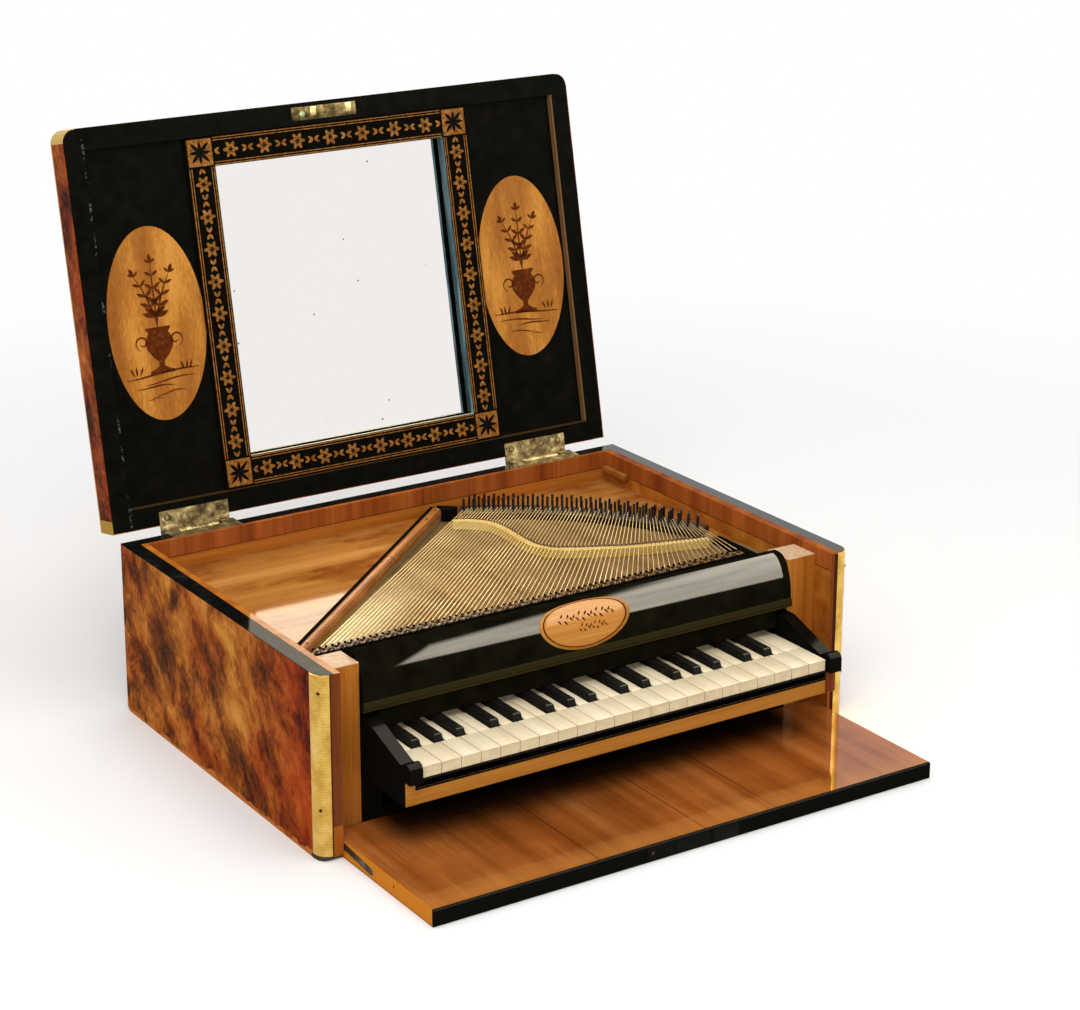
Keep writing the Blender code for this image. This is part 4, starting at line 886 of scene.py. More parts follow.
def mirror_frame_finish():
    """Black lacquer, with the grey-green paint of the rebate round the glass, and its upward-facing
    foot painted pale grey for the light it catches.
    """
    material, tree = new_finish("black_lacquer_frame", roughness=0.25, specular_ior_level=0.0)
    _shut, across, depth, _height = shut_coords(tree)
    side = add(tree, "Math", {0: across}, operation="ABSOLUTE").outputs[0]
    middle = add(tree, "Math", {0: depth, 1: (OPENING_FRONT + OPENING_REAR) / 2},
                 operation="SUBTRACT").outputs[0]
    middle = add(tree, "Math", {0: middle}, operation="ABSOLUTE").outputs[0]
    reach = (OPENING_REAR - OPENING_FRONT) / 2
    inside = both(tree, band(tree, side, -1, OPENING_HALF + 0.3 * MM),
                  band(tree, middle, -1, reach + 0.3 * MM))
    streak, _tone = straight_grain(tree, place_of(tree), "Z", REBATE_TONES)
    # painted highlight: the rebate's foot, which faces up, is pale grey for the light it catches
    foot = band(tree, depth, OPENING_REAR - 0.3 * MM, 1)
    streak = paint(tree, foot, colour("#AEAE9E"), streak)
    face = paint(tree, inside, streak, colour("#0F0E0A"))
    plug(tree, tree.nodes["Principled BSDF"], {"Base Color": face})
    return material


dress_node(mirror_finish(), "mirror_glass")
dress_node(mirror_frame_finish(), "mirror_frame")
print("lid and mirror dressed")

# %% [markdown]
# ## Painted border round the mirror
# Gilt rosettes between two fine lines run round the mirror, with a star in a square at each
# corner. A stencil was used on the real one, so every rosette is alike: here one outline is
# repeated at an even step along each side.

# %% Border of rosettes
BORDER_PROUD = 0.15 * MM
FRAME_LOW_Z = LID_BOTTOM + LID_RECESS - 3 * MM
FRAME_HALF = 111.5 * MM
FRAME_FRONT = LID_RIM + 0.3 * MM
FRAME_REAR = CASE_BACK - LID_RIM - 0.3 * MM
STAR_POINTS = 8
ROSETTE_PETALS = 6


def gilt_finish(name, stops, roughness=0.5):
    """Worn gold-brown paint."""
    material, tree = new_finish(name, roughness=roughness, specular_ior_level=0.0)
    place = object_coords(tree)[0]
    wear = add(tree, "TexNoise", {"Vector": place, "Scale": 1 / (3 * MM), "Detail": 6,
                                  "Roughness": 0.7})
    plug(tree, tree.nodes["Principled BSDF"], {"Base Color": ramp(tree, wear.outputs["Fac"], stops)})
    return material


def flower(centre, outer, inner, petals, steps=4):
    """The outline of a rosette whose edge swings between two radii."""
    points = []
    count = petals * steps * 2
    for step in range(count):
        angle = 2 * math.pi * step / count
        radius = inner + (outer - inner) * (0.5 + 0.5 * math.cos(petals * angle))
        points.append((centre[0] + radius * math.cos(angle), centre[1] + radius * math.sin(angle)))
    return points


def leaf(centre, direction, length, width):
    """A pointed leaf from a point along a direction."""
    start, along = Vector(centre), Vector(direction).normalized()
    across = Vector((-along.y, along.x)) * width / 2
    points = []
    for share, side in ((0, 0), (0.25, 0.75), (0.5, 1), (0.75, 0.7), (1, 0), (0.75, -0.7),
                        (0.5, -1), (0.25, -0.75)):
        points.append(tuple(start + along * length * share + across * side))
    return points


def ribbon(bm, points, widths, low, high):
    """A thin stroke along points, as wide as widths says at each of them."""
    points = [Vector(point) for point in points]
    left, right = [], []
    for index, point in enumerate(points):
        before, after = points[max(index - 1, 0)], points[min(index + 1, len(points) - 1)]
        along = (after - before).normalized()
        across = Vector((-along.y, along.x)) * widths[index] / 2
        left.append(tuple(point + across))
        right.append(tuple(point - across))
    slab(bm, left + right[::-1], low, high)


def frame_bands():
    """The four bands of the mirror frame: start, end and number of rosettes."""
    x = FRAME_HALF - FRAME_BAND / 2
    front, rear = FRAME_FRONT + FRAME_BAND / 2, FRAME_REAR - FRAME_BAND / 2
    inset = FRAME_BAND / 2
    return [((inset - x, front), (x - inset, front), 7), ((inset - x, rear), (x - inset, rear), 8),
            ((-x, front + inset), (-x, rear - inset), 9), ((x, front + inset), (x, rear - inset), 9)]


def rosette_border():
    """Rosettes with leaves between them and fine lines beside them, on all four bands."""
    bm, eyes = bmesh.new(), bmesh.new()
    low, high = FRAME_LOW_Z - BORDER_PROUD, FRAME_LOW_Z
    for start, end, count in frame_bands():
        start, end = Vector(start), Vector(end)
        step = (end - start) / count
        along = step.normalized()
        across = Vector((-along.y, along.x))
        for number in range(count):
            middle = start + step * (number + 0.5)
            slab(bm, flower(middle, 5.9 * MM, 3.0 * MM, ROSETTE_PETALS), low, high)
            slab(eyes, flower(middle, 2.3 * MM, 0.7 * MM, ROSETTE_PETALS), low - BORDER_PROUD, low)
            for turn in (1, -1):
                for lean in (0.55, -0.55):
                    root = middle + step * 0.5 * turn - along * turn * 0.4 * MM
                    slab(bm, leaf(root, -along * turn + across * lean, 4.6 * MM, 2.0 * MM),
                         low, high)
        for inset, width in ((1.3 * MM, 0.7 * MM), (3.0 * MM, 0.6 * MM)):
            for side in (-1, 1):
                offset = across * side * (FRAME_BAND / 2 - inset)
                ribbon(bm, (start + offset, end + offset), (width, width), low, high)
    place_piece("mirror_border_rosettes", bm, border_gilt, "lid", OPEN_LID)
    place_piece("mirror_border_eyes", eyes, lacquer, "lid", OPEN_LID)


def corner_stars():
    """A gilt square with a black star at each corner of the frame."""
    squares, stars = bmesh.new(), bmesh.new()
    half = FRAME_BAND / 2 - 1.3 * MM
    for x in (-1, 1):
        for rear in (0, 1):
            cx = x * (FRAME_HALF - FRAME_BAND / 2)
            cy = (FRAME_REAR - FRAME_BAND / 2) if rear else (FRAME_FRONT + FRAME_BAND / 2)
            block(squares, (cx - half, cy - half, FRAME_LOW_Z - BORDER_PROUD),
                  (cx + half, cy + half, FRAME_LOW_Z))
            for point in range(STAR_POINTS):
                angle = 2 * math.pi * point / STAR_POINTS
                reach = half * (1.05 if point % 2 else 0.85)
                slab(stars, leaf((cx, cy), (math.cos(angle), math.sin(angle)), reach, 2.6 * MM),
                     FRAME_LOW_Z - 2 * BORDER_PROUD, FRAME_LOW_Z - BORDER_PROUD)
    place_piece("mirror_corner_squares", squares, border_gilt, "lid", OPEN_LID)
    place_piece("mirror_corner_stars", stars, lacquer, "lid", OPEN_LID)


border_gilt = gilt_finish("stencilled_gilt", ((0.30, "#57330F"), (0.50, "#94602A"),
                                              (0.70, "#BC8444")))
rosette_border()
corner_stars()
print("border with", sum(count for _s, _e, count in frame_bands()), "rosettes")

# %% [markdown]
# ## Inlaid ovals
# On each side of the mirror an amber oval is let into the black, decorated with penwork in brown
# ink. Here that is an urn with scrolled handles on a strip of ground and a spray of leaves in it,
# a common motif of the time and nobody's own. The lid's depth runs down the open lid, so the urn's
# foot has the larger depth.

# %% Ovals in the lid
OVAL_X = 147 * MM
OVAL_Y = 136 * MM
OVAL_HALF = (36 * MM, 66 * MM)
LID_FLOOR = LID_BOTTOM + LID_RECESS
OVAL_PROUD = 0.2 * MM
INK_PROUD = 0.12 * MM
URN = ((0, 0), (9, 0), (9, 2), (5, 3.2), (2.2, 5), (2.0, 8), (6, 12), (9.5, 17), (10.5, 22),
       (8.5, 26), (7.2, 28), (9.2, 30), (9.2, 31.5), (0, 31.5))
GROUND_STROKES = ((-27, 1, 27, -1, 1.6), (-23, -4, 14, -6, 1.1), (-8, -9, 20, -8, 1.2),
                  (-15, -13, 6, -14, 0.9), (2, -17, 13, -16, 0.7))


class Ink:
    """Draws in millimetres round an oval's middle, with up towards the lid's free edge."""

    def __init__(self, bm, centre, side):
        self.bm, self.centre, self.side = bm, Vector(centre), side
        self.high = LID_FLOOR - OVAL_PROUD
        self.low = self.high - INK_PROUD

    def spot(self, x, y):
        """A point in the lid's plane."""
        return self.centre + Vector((self.side * x, -y)) * MM

    def shape(self, points):
        """A filled outline."""
        slab(self.bm, [tuple(self.spot(*point)) for point in points], self.low, self.high)

    def stroke(self, points, width):
        """A pen stroke that starts and ends fine."""
        last = len(points) - 1
        widths = [width * MM * (0.3 + 0.7 * math.sin(math.pi * step / last))
                  for step in range(last + 1)]
        ribbon(self.bm, [self.spot(*point) for point in points], widths, self.low, self.high)

    def leaf(self, x, y, angle, length, width):
        """A leaf that starts at a point and points in a direction given in degrees."""
        direction = Vector((self.side * math.cos(math.radians(angle)),
                            -math.sin(math.radians(angle))))
        slab(self.bm, leaf(self.spot(x, y), direction, length * MM, width * MM), self.low,
             self.high)


def scroll(x, y, size, turn, steps=14):
    """Points of a handle that curls in at its end."""
    points = []
    for step in range(steps + 1):
        share = step / steps
        angle = math.radians(-70 + 400 * share)
        radius = size * (1 - 0.72 * share)
        points.append((x + turn * radius * math.cos(angle), y + radius * math.sin(angle)))
    return points


def urn_spray(ink):
    """An urn on its ground, with three leafy stems."""
    foot = -34
    ink.shape([(x, foot + y) for x, y in URN] + [(-x, foot + y) for x, y in URN[-2:0:-1]])
    for turn in (-1, 1):
        ink.stroke(scroll(turn * 12.5, foot + 22, 5.5, turn), 1.3)
    for bend in (-13, 0, 13):
        stem = [(bend * share ** 1.6, foot + 31 + (44 - abs(bend) * 0.6) * share)
                for share in (0, 0.2, 0.4, 0.6, 0.8, 1)]
        ink.stroke(stem, 1.2)
        for number, (x, y) in enumerate(stem[1:]):
            size = 9.5 - 1.1 * number
            ink.leaf(x, y, 35 - bend, size, size * 0.36)
            ink.leaf(x, y, 145 - bend, size, size * 0.36)
        ink.leaf(*stem[-1], 90 - bend * 2, 6.5, 3.0)
    for x0, y0, x1, y1, width in GROUND_STROKES:
        run = [(x0 + (x1 - x0) * share, foot + y0 + (y1 - y0) * share
                + 0.9 * math.sin(5 * share)) for share in (0, 0.2, 0.4, 0.6, 0.8, 1)]
        ink.stroke(run, width)
    for x, lean in ((-20, 110), (-18, 95), (-16, 70), (17, 115), (19, 88), (21, 68)):
        ink.leaf(x, foot, lean, 7, 1.6)


def lid_ovals():
    """The two inlaid ovals with their ink."""
    ground, drawing = bmesh.new(), bmesh.new()
    for side in (-1, 1):
        centre = (side * OVAL_X, OVAL_Y)
        slab(ground, ellipse(centre, *OVAL_HALF), LID_FLOOR - OVAL_PROUD, LID_FLOOR + OVAL_PROUD)
        urn_spray(Ink(drawing, centre, side))
    place_piece("lid_ovals", ground, oval_wood, "lid", OPEN_LID)
    place_piece("lid_oval_ink", drawing, brown_ink, "lid", OPEN_LID)


oval_wood = straight_finish("inlaid_satinwood", "Z", ((0.30, "#925216"), (0.48, "#B06E25"),
                                                      (0.60, "#CF8A35"), (0.75, "#DE9D4A")),
                            0.4, 0.1, 0.15)
brown_ink = gilt_finish("brown_penwork", ((0.30, "#44200C"), (0.55, "#642F12"), (0.75, "#8A4E20")))
lid_ovals()
print("two ovals with urns and leaves")

# %% [markdown]
# ## Fall-front
# The fall is a board veneered in four sheets with their grain running from front to back. Its
# front edge is black, its two ends are amber, and its outer side, which shows when it is shut, has
# the case's burl. The seams are only lines in the veneer, so the material draws them. Near the case,
# where the board lies under the key tray, it is painted nearly black: painted shade and the dark
# reflection of the tray's bay.

# %% Fall
FALL_SEAMS = (-69.4 * MM, 8.0 * MM, 61.8 * MM)
SEAM_HALF = 0.25 * MM
FALL_BORDER = 7 * MM
SHEET_TINTS = (0.52, 0.47, 0.50, 0.56)
BAY_HALF = 158 * MM
SHADE_FROM, SHADE_TO = 4 * MM, -34 * MM


def veneer_sheets(tree, across):
    """A grey for each of the four sheets, a little lighter or darker than its neighbour."""
    share = add(tree, "MapRange", {"Value": across, "From Min": -OUTER_HALF,
                                   "From Max": OUTER_HALF}).outputs["Result"]
    sheets = add(tree, "ValToRGB", {"Fac": share})
    sheets.color_ramp.interpolation = "CONSTANT"
    elements = sheets.color_ramp.elements
    for index, tint in enumerate(SHEET_TINTS):
        start = 0 if index == 0 else (FALL_SEAMS[index - 1] + OUTER_HALF) / (2 * OUTER_HALF)
        element = elements[index] if index < 2 else elements.new(start)
        element.position = start
        element.color = (tint, tint, tint, 1)
    return sheets.outputs["Color"]


def fall_top(tree, place, across, depth):
    """Honey veneer in sheets, lighter along the front, with painted shade and dark reflection near the
    case.
    """
    face, tone = straight_grain(tree, place, "Y", HONEY_TONES)
    face = add(tree, "Mix", {0: 0.35, 6: face, 7: veneer_sheets(tree, across)},
               data_type="RGBA", blend_type="OVERLAY").outputs[2]
    clouds = figure(tree, place, 0, (75 * MM, 45 * MM, 45 * MM), 5, 0.6)
    clouds = add(tree, "MapRange", {"Value": clouds, "From Min": 0.36, "From Max": 0.64,
                                    "To Min": 0.38, "To Max": 0.62}).outputs["Result"]
    face = add(tree, "Mix", {0: 0.8, 6: face, 7: clouds}, data_type="RGBA",
               blend_type="OVERLAY").outputs[2]
    front = FALL_LOW[1]
    light = add(tree, "MapRange", {"Value": depth, "From Min": front, "From Max": front + 26 * MM,
                                   "To Min": 0.5, "To Max": 0.0},
                interpolation_type="SMOOTHSTEP").outputs["Result"]
    face = paint(tree, light, colour("#BE7A30"), face)
    for seam in FALL_SEAMS:
        face = paint(tree, band(tree, across, seam - SEAM_HALF, seam + SEAM_HALF),
                     colour("#451D0A"), face)
    side = add(tree, "Math", {0: across}, operation="ABSOLUTE").outputs[0]
    under_tray = add(tree, "MapRange", {"Value": side, "From Min": BAY_HALF - 14 * MM,
                                        "From Max": BAY_HALF + 4 * MM, "To Min": 1.0,
                                        "To Max": 0.0}).outputs["Result"]
    # painted shade: nearly black near the case under the key tray, for its shade and the dark
    # reflection of the tray's bay
    painted_shade = add(tree, "MapRange", {"Value": depth, "From Min": SHADE_TO, "From Max": SHADE_FROM,
                                    "To Min": 0.0, "To Max": 0.93},
                 interpolation_type="SMOOTHSTEP").outputs["Result"]
    return paint(tree, both(tree, painted_shade, under_tray), colour("#170C07"), face), tone


def fall_finish():
    """Polished veneer on top, a black front edge, amber ends and burl on the outer side."""
    material, tree = new_finish("french_polished_fall", roughness=0.32, coat_roughness=0.04,
                                coat_ior=SHELLAC_IOR, specular_ior_level=0.0)
    place, across, depth, height = object_coords(tree)
    face, tone = fall_top(tree, place, across, depth)
    edge = 0.5 * MM
    ends = add(tree, "Math", {0: across}, operation="ABSOLUTE").outputs[0]
    at_end = band(tree, ends, FALL_HIGH[0] - edge, 1)
    at_front = band(tree, depth, -1, FALL_LOW[1] + 1.6 * MM)
    face = paint(tree, at_end, colour("#C67A24"), face)
    face = paint(tree, at_front, colour("#0E0D0A"), face)
    face = paint(tree, band(tree, height, -1, edge), colour("#1A120B"), face)
    outer_side = band(tree, height, -1, FALL_LOW[2] + 0.05 * MM)
    outside, _tone = burl(tree, place, BURL_TONES, LID_TURN)
    face = paint(tree, outer_side, outside, face)
    dull = add(tree, "Math", {0: at_end, 1: at_front}, operation="MAXIMUM").outputs[0]
    dull = add(tree, "Math", {0: dull, 1: outer_side}, operation="MAXIMUM").outputs[0]
    polish = add(tree, "MapRange", {"Value": dull, "To Min": 0.8, "To Max": 0.02})
    plug(tree, tree.nodes["Principled BSDF"],
         {"Base Color": face, "Coat Weight": polish.outputs["Result"],
          "Normal": relief(tree, tone, 0.03 * MM)})
    return material


dress_node(fall_finish(), "fall_front")
print("fall dressed")

# %% [markdown]
# ## Keys
# A natural is a lime-wood lever with bone plates on its head and tail, which overhang the front a
# little. The plates are their own thin pieces here, so the joint between head and tail shows.
# A sharp is a lever with a black cap. The hammers at the back are wood with leather heads.

# %% Keys
HAMMER_FRONT = 60 * MM
PLATE_THICKNESS = 0.7 * MM
PLATE_LIP = 0.5 * MM
PLATE_BACK = 17 * MM
PLATE_EDGE = 0.25 * MM
LIME_TONES = ((0.30, "#B98D55"), (0.50, "#D0A66C"), (0.70, "#DDB981"))


def lever_finish(name, head, shadow_top):
    """Lime wood, with the key's front in a colour of its own above a level and painted shadow below it,
    for the shade under the keys.
    """
    material, tree = new_finish(name, roughness=0.42, coat_weight=0.05, coat_roughness=0.15,
                                specular_ior_level=0.03)
    place, _across, depth, height = object_coords(tree)
    wood, _tone = straight_grain(tree, place, "Y", LIME_TONES)
    leather = both(tree, band(tree, depth, HAMMER_FRONT, 1), band(tree, height, 74 * MM, 1))
    face = paint(tree, leather, colour("#A98A66"), wood)
    wear = add(tree, "TexNoise", {"Vector": place, "Scale": 1 / (6 * MM), "Detail": 5})
    # painted shadow: the front of the lever is dark below the key's head, for the shade under the keys
    at_front = band(tree, depth, -1, 34 * MM)
    face = paint(tree, at_front, colour("#15100A"), face)
    front = both(tree, at_front, band(tree, height, shadow_top, 1))
    face = paint(tree, front, ramp(tree, wear.outputs["Fac"], head), face)
    plug(tree, tree.nodes["Principled BSDF"], {"Base Color": face})
    return material


def bone_finish():
    """Old bone: warm white, finely streaked along the key."""
    material, tree = new_finish("old_bone", roughness=0.38, coat_weight=0.06,
                                coat_roughness=0.15, specular_ior_level=0.1)
    place = object_coords(tree)[0]
    face, tone = straight_grain(tree, place, "Y", ((0.30, "#D9C49A"), (0.48, "#E6D5B1"),
                                                   (0.62, "#EEDFC0"), (0.78, "#F5EAD2")))
    plug(tree, tree.nodes["Principled BSDF"],
         {"Base Color": face, "Normal": relief(tree, tone, 0.03 * MM)})
    return material


def natural_plates(index, names):
    """The head and tail plates of one natural."""
    low, high = box(names[index])
    left, right = low[0], high[0]
    tail_left, tail_right = left, right
    if index > 0 and names[index - 1].endswith("sharp"):
        tail_left = max(left, box(names[index - 1])[1][0] + 0.5 * MM)
    if index + 1 < len(names) and names[index + 1].endswith("sharp"):
        tail_right = min(right, box(names[index + 1])[0][0] - 0.5 * MM)
    top = KEY_TOP + PLATE_THICKNESS
    bm = bmesh.new()
    block(bm, (left, low[1] - PLATE_LIP, KEY_TOP), (right, KEY_HEAD_BACK, top), PLATE_EDGE)
    block(bm, (tail_left, KEY_HEAD_BACK + 0.1 * MM, KEY_TOP), (tail_right, PLATE_BACK, top),
          PLATE_EDGE)
    body = names[index].rsplit("_", 1)[0]
    place_piece(names[index].replace("natural", "plates"), bm, bone, body)


KEY_NAMES = sorted(name for name in frame["nodes"] if name.startswith("key_") and "tray" not in name)
KEY_TOP = joints["key_01_dip"]["pos_m"][2] + 8.5 * MM
KEY_HEAD_BACK = box(KEY_NAMES[0])[0][1] + 24.5 * MM
bone = bone_finish()
natural_lever = lever_finish("lime_wood_key", ((0.3, "#D6C39A"), (0.7, "#E6D6B2")), 58.2 * MM)
sharp_lever = lever_finish("black_stained_key", ((0.3, "#0E0D0B"), (0.7, "#1C1A16")), 62.6 * MM)
for index, name in enumerate(KEY_NAMES):
    if name.endswith("natural"):
        dress_node(natural_lever, name)
        natural_plates(index, KEY_NAMES)
    else:
        dress_node(sharp_lever, name)
print(len(KEY_NAMES), "keys dressed")

# %% [markdown]
# ## Key tray
# The tray's front rail is honey coloured, its cheeks and scrolls are black and its inside is bare
# lime wood. The top of the rail and the gap under the key fronts are black: painted shadow under
# the keys.

# %% Tray
TRAY_LOW, TRAY_HIGH = box("key_tray")
CHEEK_INSIDE = TRAY_HIGH[0] - 9.2 * MM
TRAY_GAP_BACK = 20 * MM
RAIL_SHADOW_FROM = TRAY_LOW[2] + 9.0 * MM
RAIL_TONES = ((0.30, "#8E571A"), (0.46, "#A86C24"), (0.58, "#B87C2E"), (0.72, "#C88F42"))


def tray_ends():
    """The honey stub at the left end of the tray's rail and the red-brown one at its right."""
    front = TRAY_LOW[1] + 5.4 * MM
    rail_back = TRAY_LOW[1] + 12 * MM
    left, right = bmesh.new(), bmesh.new()
    block(left, (TRAY_LOW[0] + 0.2 * MM, front, TRAY_LOW[2] + 0.4 * MM),
          (TRAY_LOW[0] + 6.8 * MM, rail_back, 57 * MM), 0.4 * MM)
    block(right, (TRAY_HIGH[0] - 8 * MM, front, TRAY_LOW[2] + 0.4 * MM),
          (TRAY_HIGH[0] - 0.2 * MM, rail_back, 56.6 * MM), 0.4 * MM)
    place_piece("tray_stub_left", left, honey_stub, "tray")
    place_piece("tray_stub_right", right, red_stub, "tray")


def tray_finish():
    """Honey front rail, black cheeks, bare wood inside, and painted shadow on the rail's top and in the
    gap under the keys.
    """
    material, tree = new_finish("polished_key_tray", roughness=0.35, coat_roughness=0.1,
                                specular_ior_level=0.0)
    place, across, depth, height = object_coords(tree)
    honey, _tone = straight_grain(tree, place, "X", RAIL_TONES)
    bare, _tone = straight_grain(tree, place, "X", LIME_TONES)
    front = band(tree, depth, -1, TRAY_LOW[1] + 6.2 * MM)
    face = paint(tree, front, honey, bare)
    # painted shadow: the top of the rail under the key fronts is black
    face = paint(tree, both(tree, front, band(tree, height, RAIL_SHADOW_FROM, 1)),
                 colour("#120D08"), face)
    # painted shadow: black in the gap under the keys behind the rail
    shaded_gap = band(tree, depth, TRAY_LOW[1] + 6.3 * MM, TRAY_GAP_BACK)
    face = paint(tree, shaded_gap, colour("#120D08"), face)
    side = add(tree, "Math", {0: across}, operation="ABSOLUTE").outputs[0]
    cheek = both(tree, band(tree, side, CHEEK_INSIDE, 1), band(tree, height, 52 * MM, 1))
    face = paint(tree, cheek, colour("#0E0D0A"), face)
    outer = band(tree, side, TRAY_HIGH[0] - 0.3 * MM, 1)
    face = paint(tree, outer, colour("#0E0D0A"), face)
    black = add(tree, "Math", {0: cheek, 1: outer}, operation="MAXIMUM").outputs[0]
    shine = add(tree, "MapRange", {"Value": black, "To Min": 0.08, "To Max": 0.03})
    plug(tree, tree.nodes["Principled BSDF"],
         {"Base Color": face, "Coat Weight": shine.outputs["Result"]})
    return material


dress_node(tray_finish(), "key_tray")
honey_stub = straight_finish("honey_stub", "X", RAIL_TONES, 0.5, 0.02)
red_stub = straight_finish("red_brown_stub", "Z", ((0.3, "#4E2009"), (0.5, "#743611"),
                                                   (0.7, "#8E4818")), 0.5, 0.02)
tray_ends()
print("tray dressed")

# %% [markdown]
# ## Brass and wire
# The hinges and corner strips are sheet brass, rolled and never lacquered, so they have browned
# in the hollows. The strings are thin brass wire over a pale bridge.

# %% Brass


def brass_finish(name, stops, roughness, grain, rib=0.0):
    """Aged brass with a brown bloom, and rolled ribs across its height where rib is given."""
    material, tree = new_finish(name, metallic=1.0)
    place = object_coords(tree)[0]
    bloom = add(tree, "TexNoise", {"Vector": place, "Scale": 1 / grain, "Detail": 6,
                                   "Roughness": 0.65})
    rough = add(tree, "MapRange", {"Value": bloom.outputs["Fac"], "To Min": roughness - 0.1,
                                   "To Max": roughness + 0.15}).outputs["Result"]
    face, normal = ramp(tree, bloom.outputs["Fac"], stops), relief(tree, bloom.outputs["Fac"],
                                                                   0.06 * MM)
    if rib:
        wave = add(tree, "TexWave", {"Vector": place, "Scale": math.pi / (10 * rib),
                                     "Distortion": 0.6, "Detail": 1}, bands_direction="Z")
        groove = add(tree, "MapRange", {"Value": wave.outputs["Fac"], "From Min": 0.0,
                                        "From Max": 0.4, "To Min": 0.86, "To Max": 1.0})
        face = add(tree, "Mix", {0: 1.0, 6: face, 7: groove.outputs["Result"]},
                   data_type="RGBA", blend_type="MULTIPLY").outputs[2]
        normal = relief(tree, wave.outputs["Fac"], 0.08 * MM, 0.4)
    plug(tree, tree.nodes["Principled BSDF"],
         {"Base Color": face, "Roughness": rough, "Normal": normal})
    return material


hinge_brass = brass_finish("browned_hinge_brass", ((0.34, "#282014"), (0.46, "#4A402A"),
                                                   (0.56, "#62573D"), (0.68, "#8C8162")), 0.5,
                           6 * MM)
fall_brass = brass_finish("browned_knife_hinge", ((0.32, "#251D13"), (0.50, "#4E4334"),
                                                  (0.70, "#857860")), 0.5, 5 * MM)
strip_brass = brass_finish("yellow_corner_brass", ((0.28, "#AC8236"), (0.50, "#D0A850"),
                                                   (0.72, "#E8C87A")), 0.36, 14 * MM, 1.9 * MM)


def wire_finish():
    """Brass wire, and the dark cloth woven through it behind the hitch rail."""
    material, tree = new_finish("brass_wire", roughness=0.5, specular_ior_level=0.1)
    place, _across, depth, _height = object_coords(tree)
    wear = add(tree, "TexNoise", {"Vector": place, "Scale": 1 / (30 * MM), "Detail": 4})
    wire = ramp(tree, wear.outputs["Fac"], WIRE_TONES)
    cloth = band(tree, depth, 0, DECK_LOW[1] + 7.5 * MM)
    metal = add(tree, "Math", {0: 1.0, 1: cloth}, operation="SUBTRACT").outputs[0]
    plug(tree, tree.nodes["Principled BSDF"],
         {"Base Color": paint(tree, cloth, colour("#2E2216"), wire), "Metallic": metal})
    return material


WIRE_TONES = ((0.30, "#8A744A"), (0.60, "#A8946A"), (0.80, "#C6B890"))
dress_node(hinge_brass, "lid_hinge_left_case_leaf", "lid_hinge_right_case_leaf",
           "lid_hinge_left_lid_leaf", "lid_hinge_right_lid_leaf")
dress_node(fall_brass, "fall_hinge_left", "fall_hinge_right")
dress_node(wire_finish(), "strings")
dress_node(straight_finish("pale_bridge_beech", "X", ((0.30, "#C8A24F"), (0.50, "#DDBD6C"),
                                                      (0.70, "#EBD18B")), 0.4, 0.2, 0.2), "bridge")
print("brass and strings dressed")

# %% [markdown]
# ## Corner strips
# A strip of brass is bent round each front corner of the case and held by two screws. It is a
# ribbon that follows the rounded corner, given its thickness in code.

# %% Corner strips
STRIP_THICKNESS = 0.5 * MM
STRIP_ON_SIDE = 8.6 * MM
STRIP_FOOT = 3.4 * MM
STRIP_TURNS = (80, 90)
SCREW_TURN = math.radians(38)
SCREW_HEIGHTS = (0.90, 0.257)


def strip_path(side, off):
    """The strip's line in plan, from the side wall round to the front, moved out by off."""
    line = [(side * (OUTER_HALF + off), STRIP_ON_SIDE + 1.5 * MM)]
    centre = (side * (OUTER_HALF - CORNER_RADIUS), CORNER_RADIUS)
    turn = STRIP_TURNS[0] if side < 0 else STRIP_TURNS[1]
    for step in range(9):
        angle = math.radians(turn * step / 8)
        reach = CORNER_RADIUS + off
        line.append((centre[0] + side * reach * math.cos(angle),
                     centre[1] - reach * math.sin(angle)))
    if side > 0:
        line.append((OUTER_HALF - STRIP_EDGES[1], -off))
    return line


def corner_strip(side):
    """One corner strip with its screws."""
    hand = "left" if side < 0 else "right"
    bm = bmesh.new()
    outline = strip_path(side, STRIP_THICKNESS) + strip_path(side, 0.05 * MM)[::-1]
    slab(bm, outline, STRIP_FOOT, CASE_TOP - 0.2 * MM)
    place_piece(f"corner_strip_{hand}", bm, strip_brass, "case")
    screws = bmesh.new()
    along = Vector((side * math.cos(SCREW_TURN), -math.sin(SCREW_TURN), 0))
    root = Vector((side * (OUTER_HALF - CORNER_RADIUS), CORNER_RADIUS, 0)) + along * CORNER_RADIUS
    for share in SCREW_HEIGHTS:
        root.z = STRIP_FOOT + (CASE_TOP - STRIP_FOOT) * share
        stud(screws, root, along, 1.4 * MM, 1.0 * MM, 16, 0.6)
    place_piece(f"corner_strip_screws_{hand}", screws, screw_iron, "case")


screw_iron = brass_finish("dark_screw", ((0.30, "#1E1812"), (0.60, "#3A3025"),
                                         (0.80, "#5B4D3B")), 0.5, 2 * MM)
for side in (-1, 1):
    corner_strip(side)
print("two corner strips")

# %% [markdown]
# ## Plaque on the nameboard
# An amber oval is let into the curved face. It is a flat ellipse wrapped on the quarter round: each
# point keeps its distance along the curve. A fine line runs round it, and two garlands of small
# leaves lie across it.

# %% Plaque
PLAQUE_HALF = 34 * MM
FACE_TOP = BOARD_HIGH[2]
FACE_FOOT = BEAD_HIGH


def on_face(x, share, proud):
    """A point on the curved face: share runs from the bead, 0, to the top, 1."""
    angle = math.radians(90 * share)
    height = FACE_TOP - FACE_FOOT
    point = Vector((x, FACE_FRONT + FACE_BULGE * (1 - math.cos(angle)),
                    FACE_FOOT + height * math.sin(angle)))
    normal = Vector((0, -math.cos(angle) * height, math.sin(angle) * FACE_BULGE)).normalized()
    return point + normal * proud


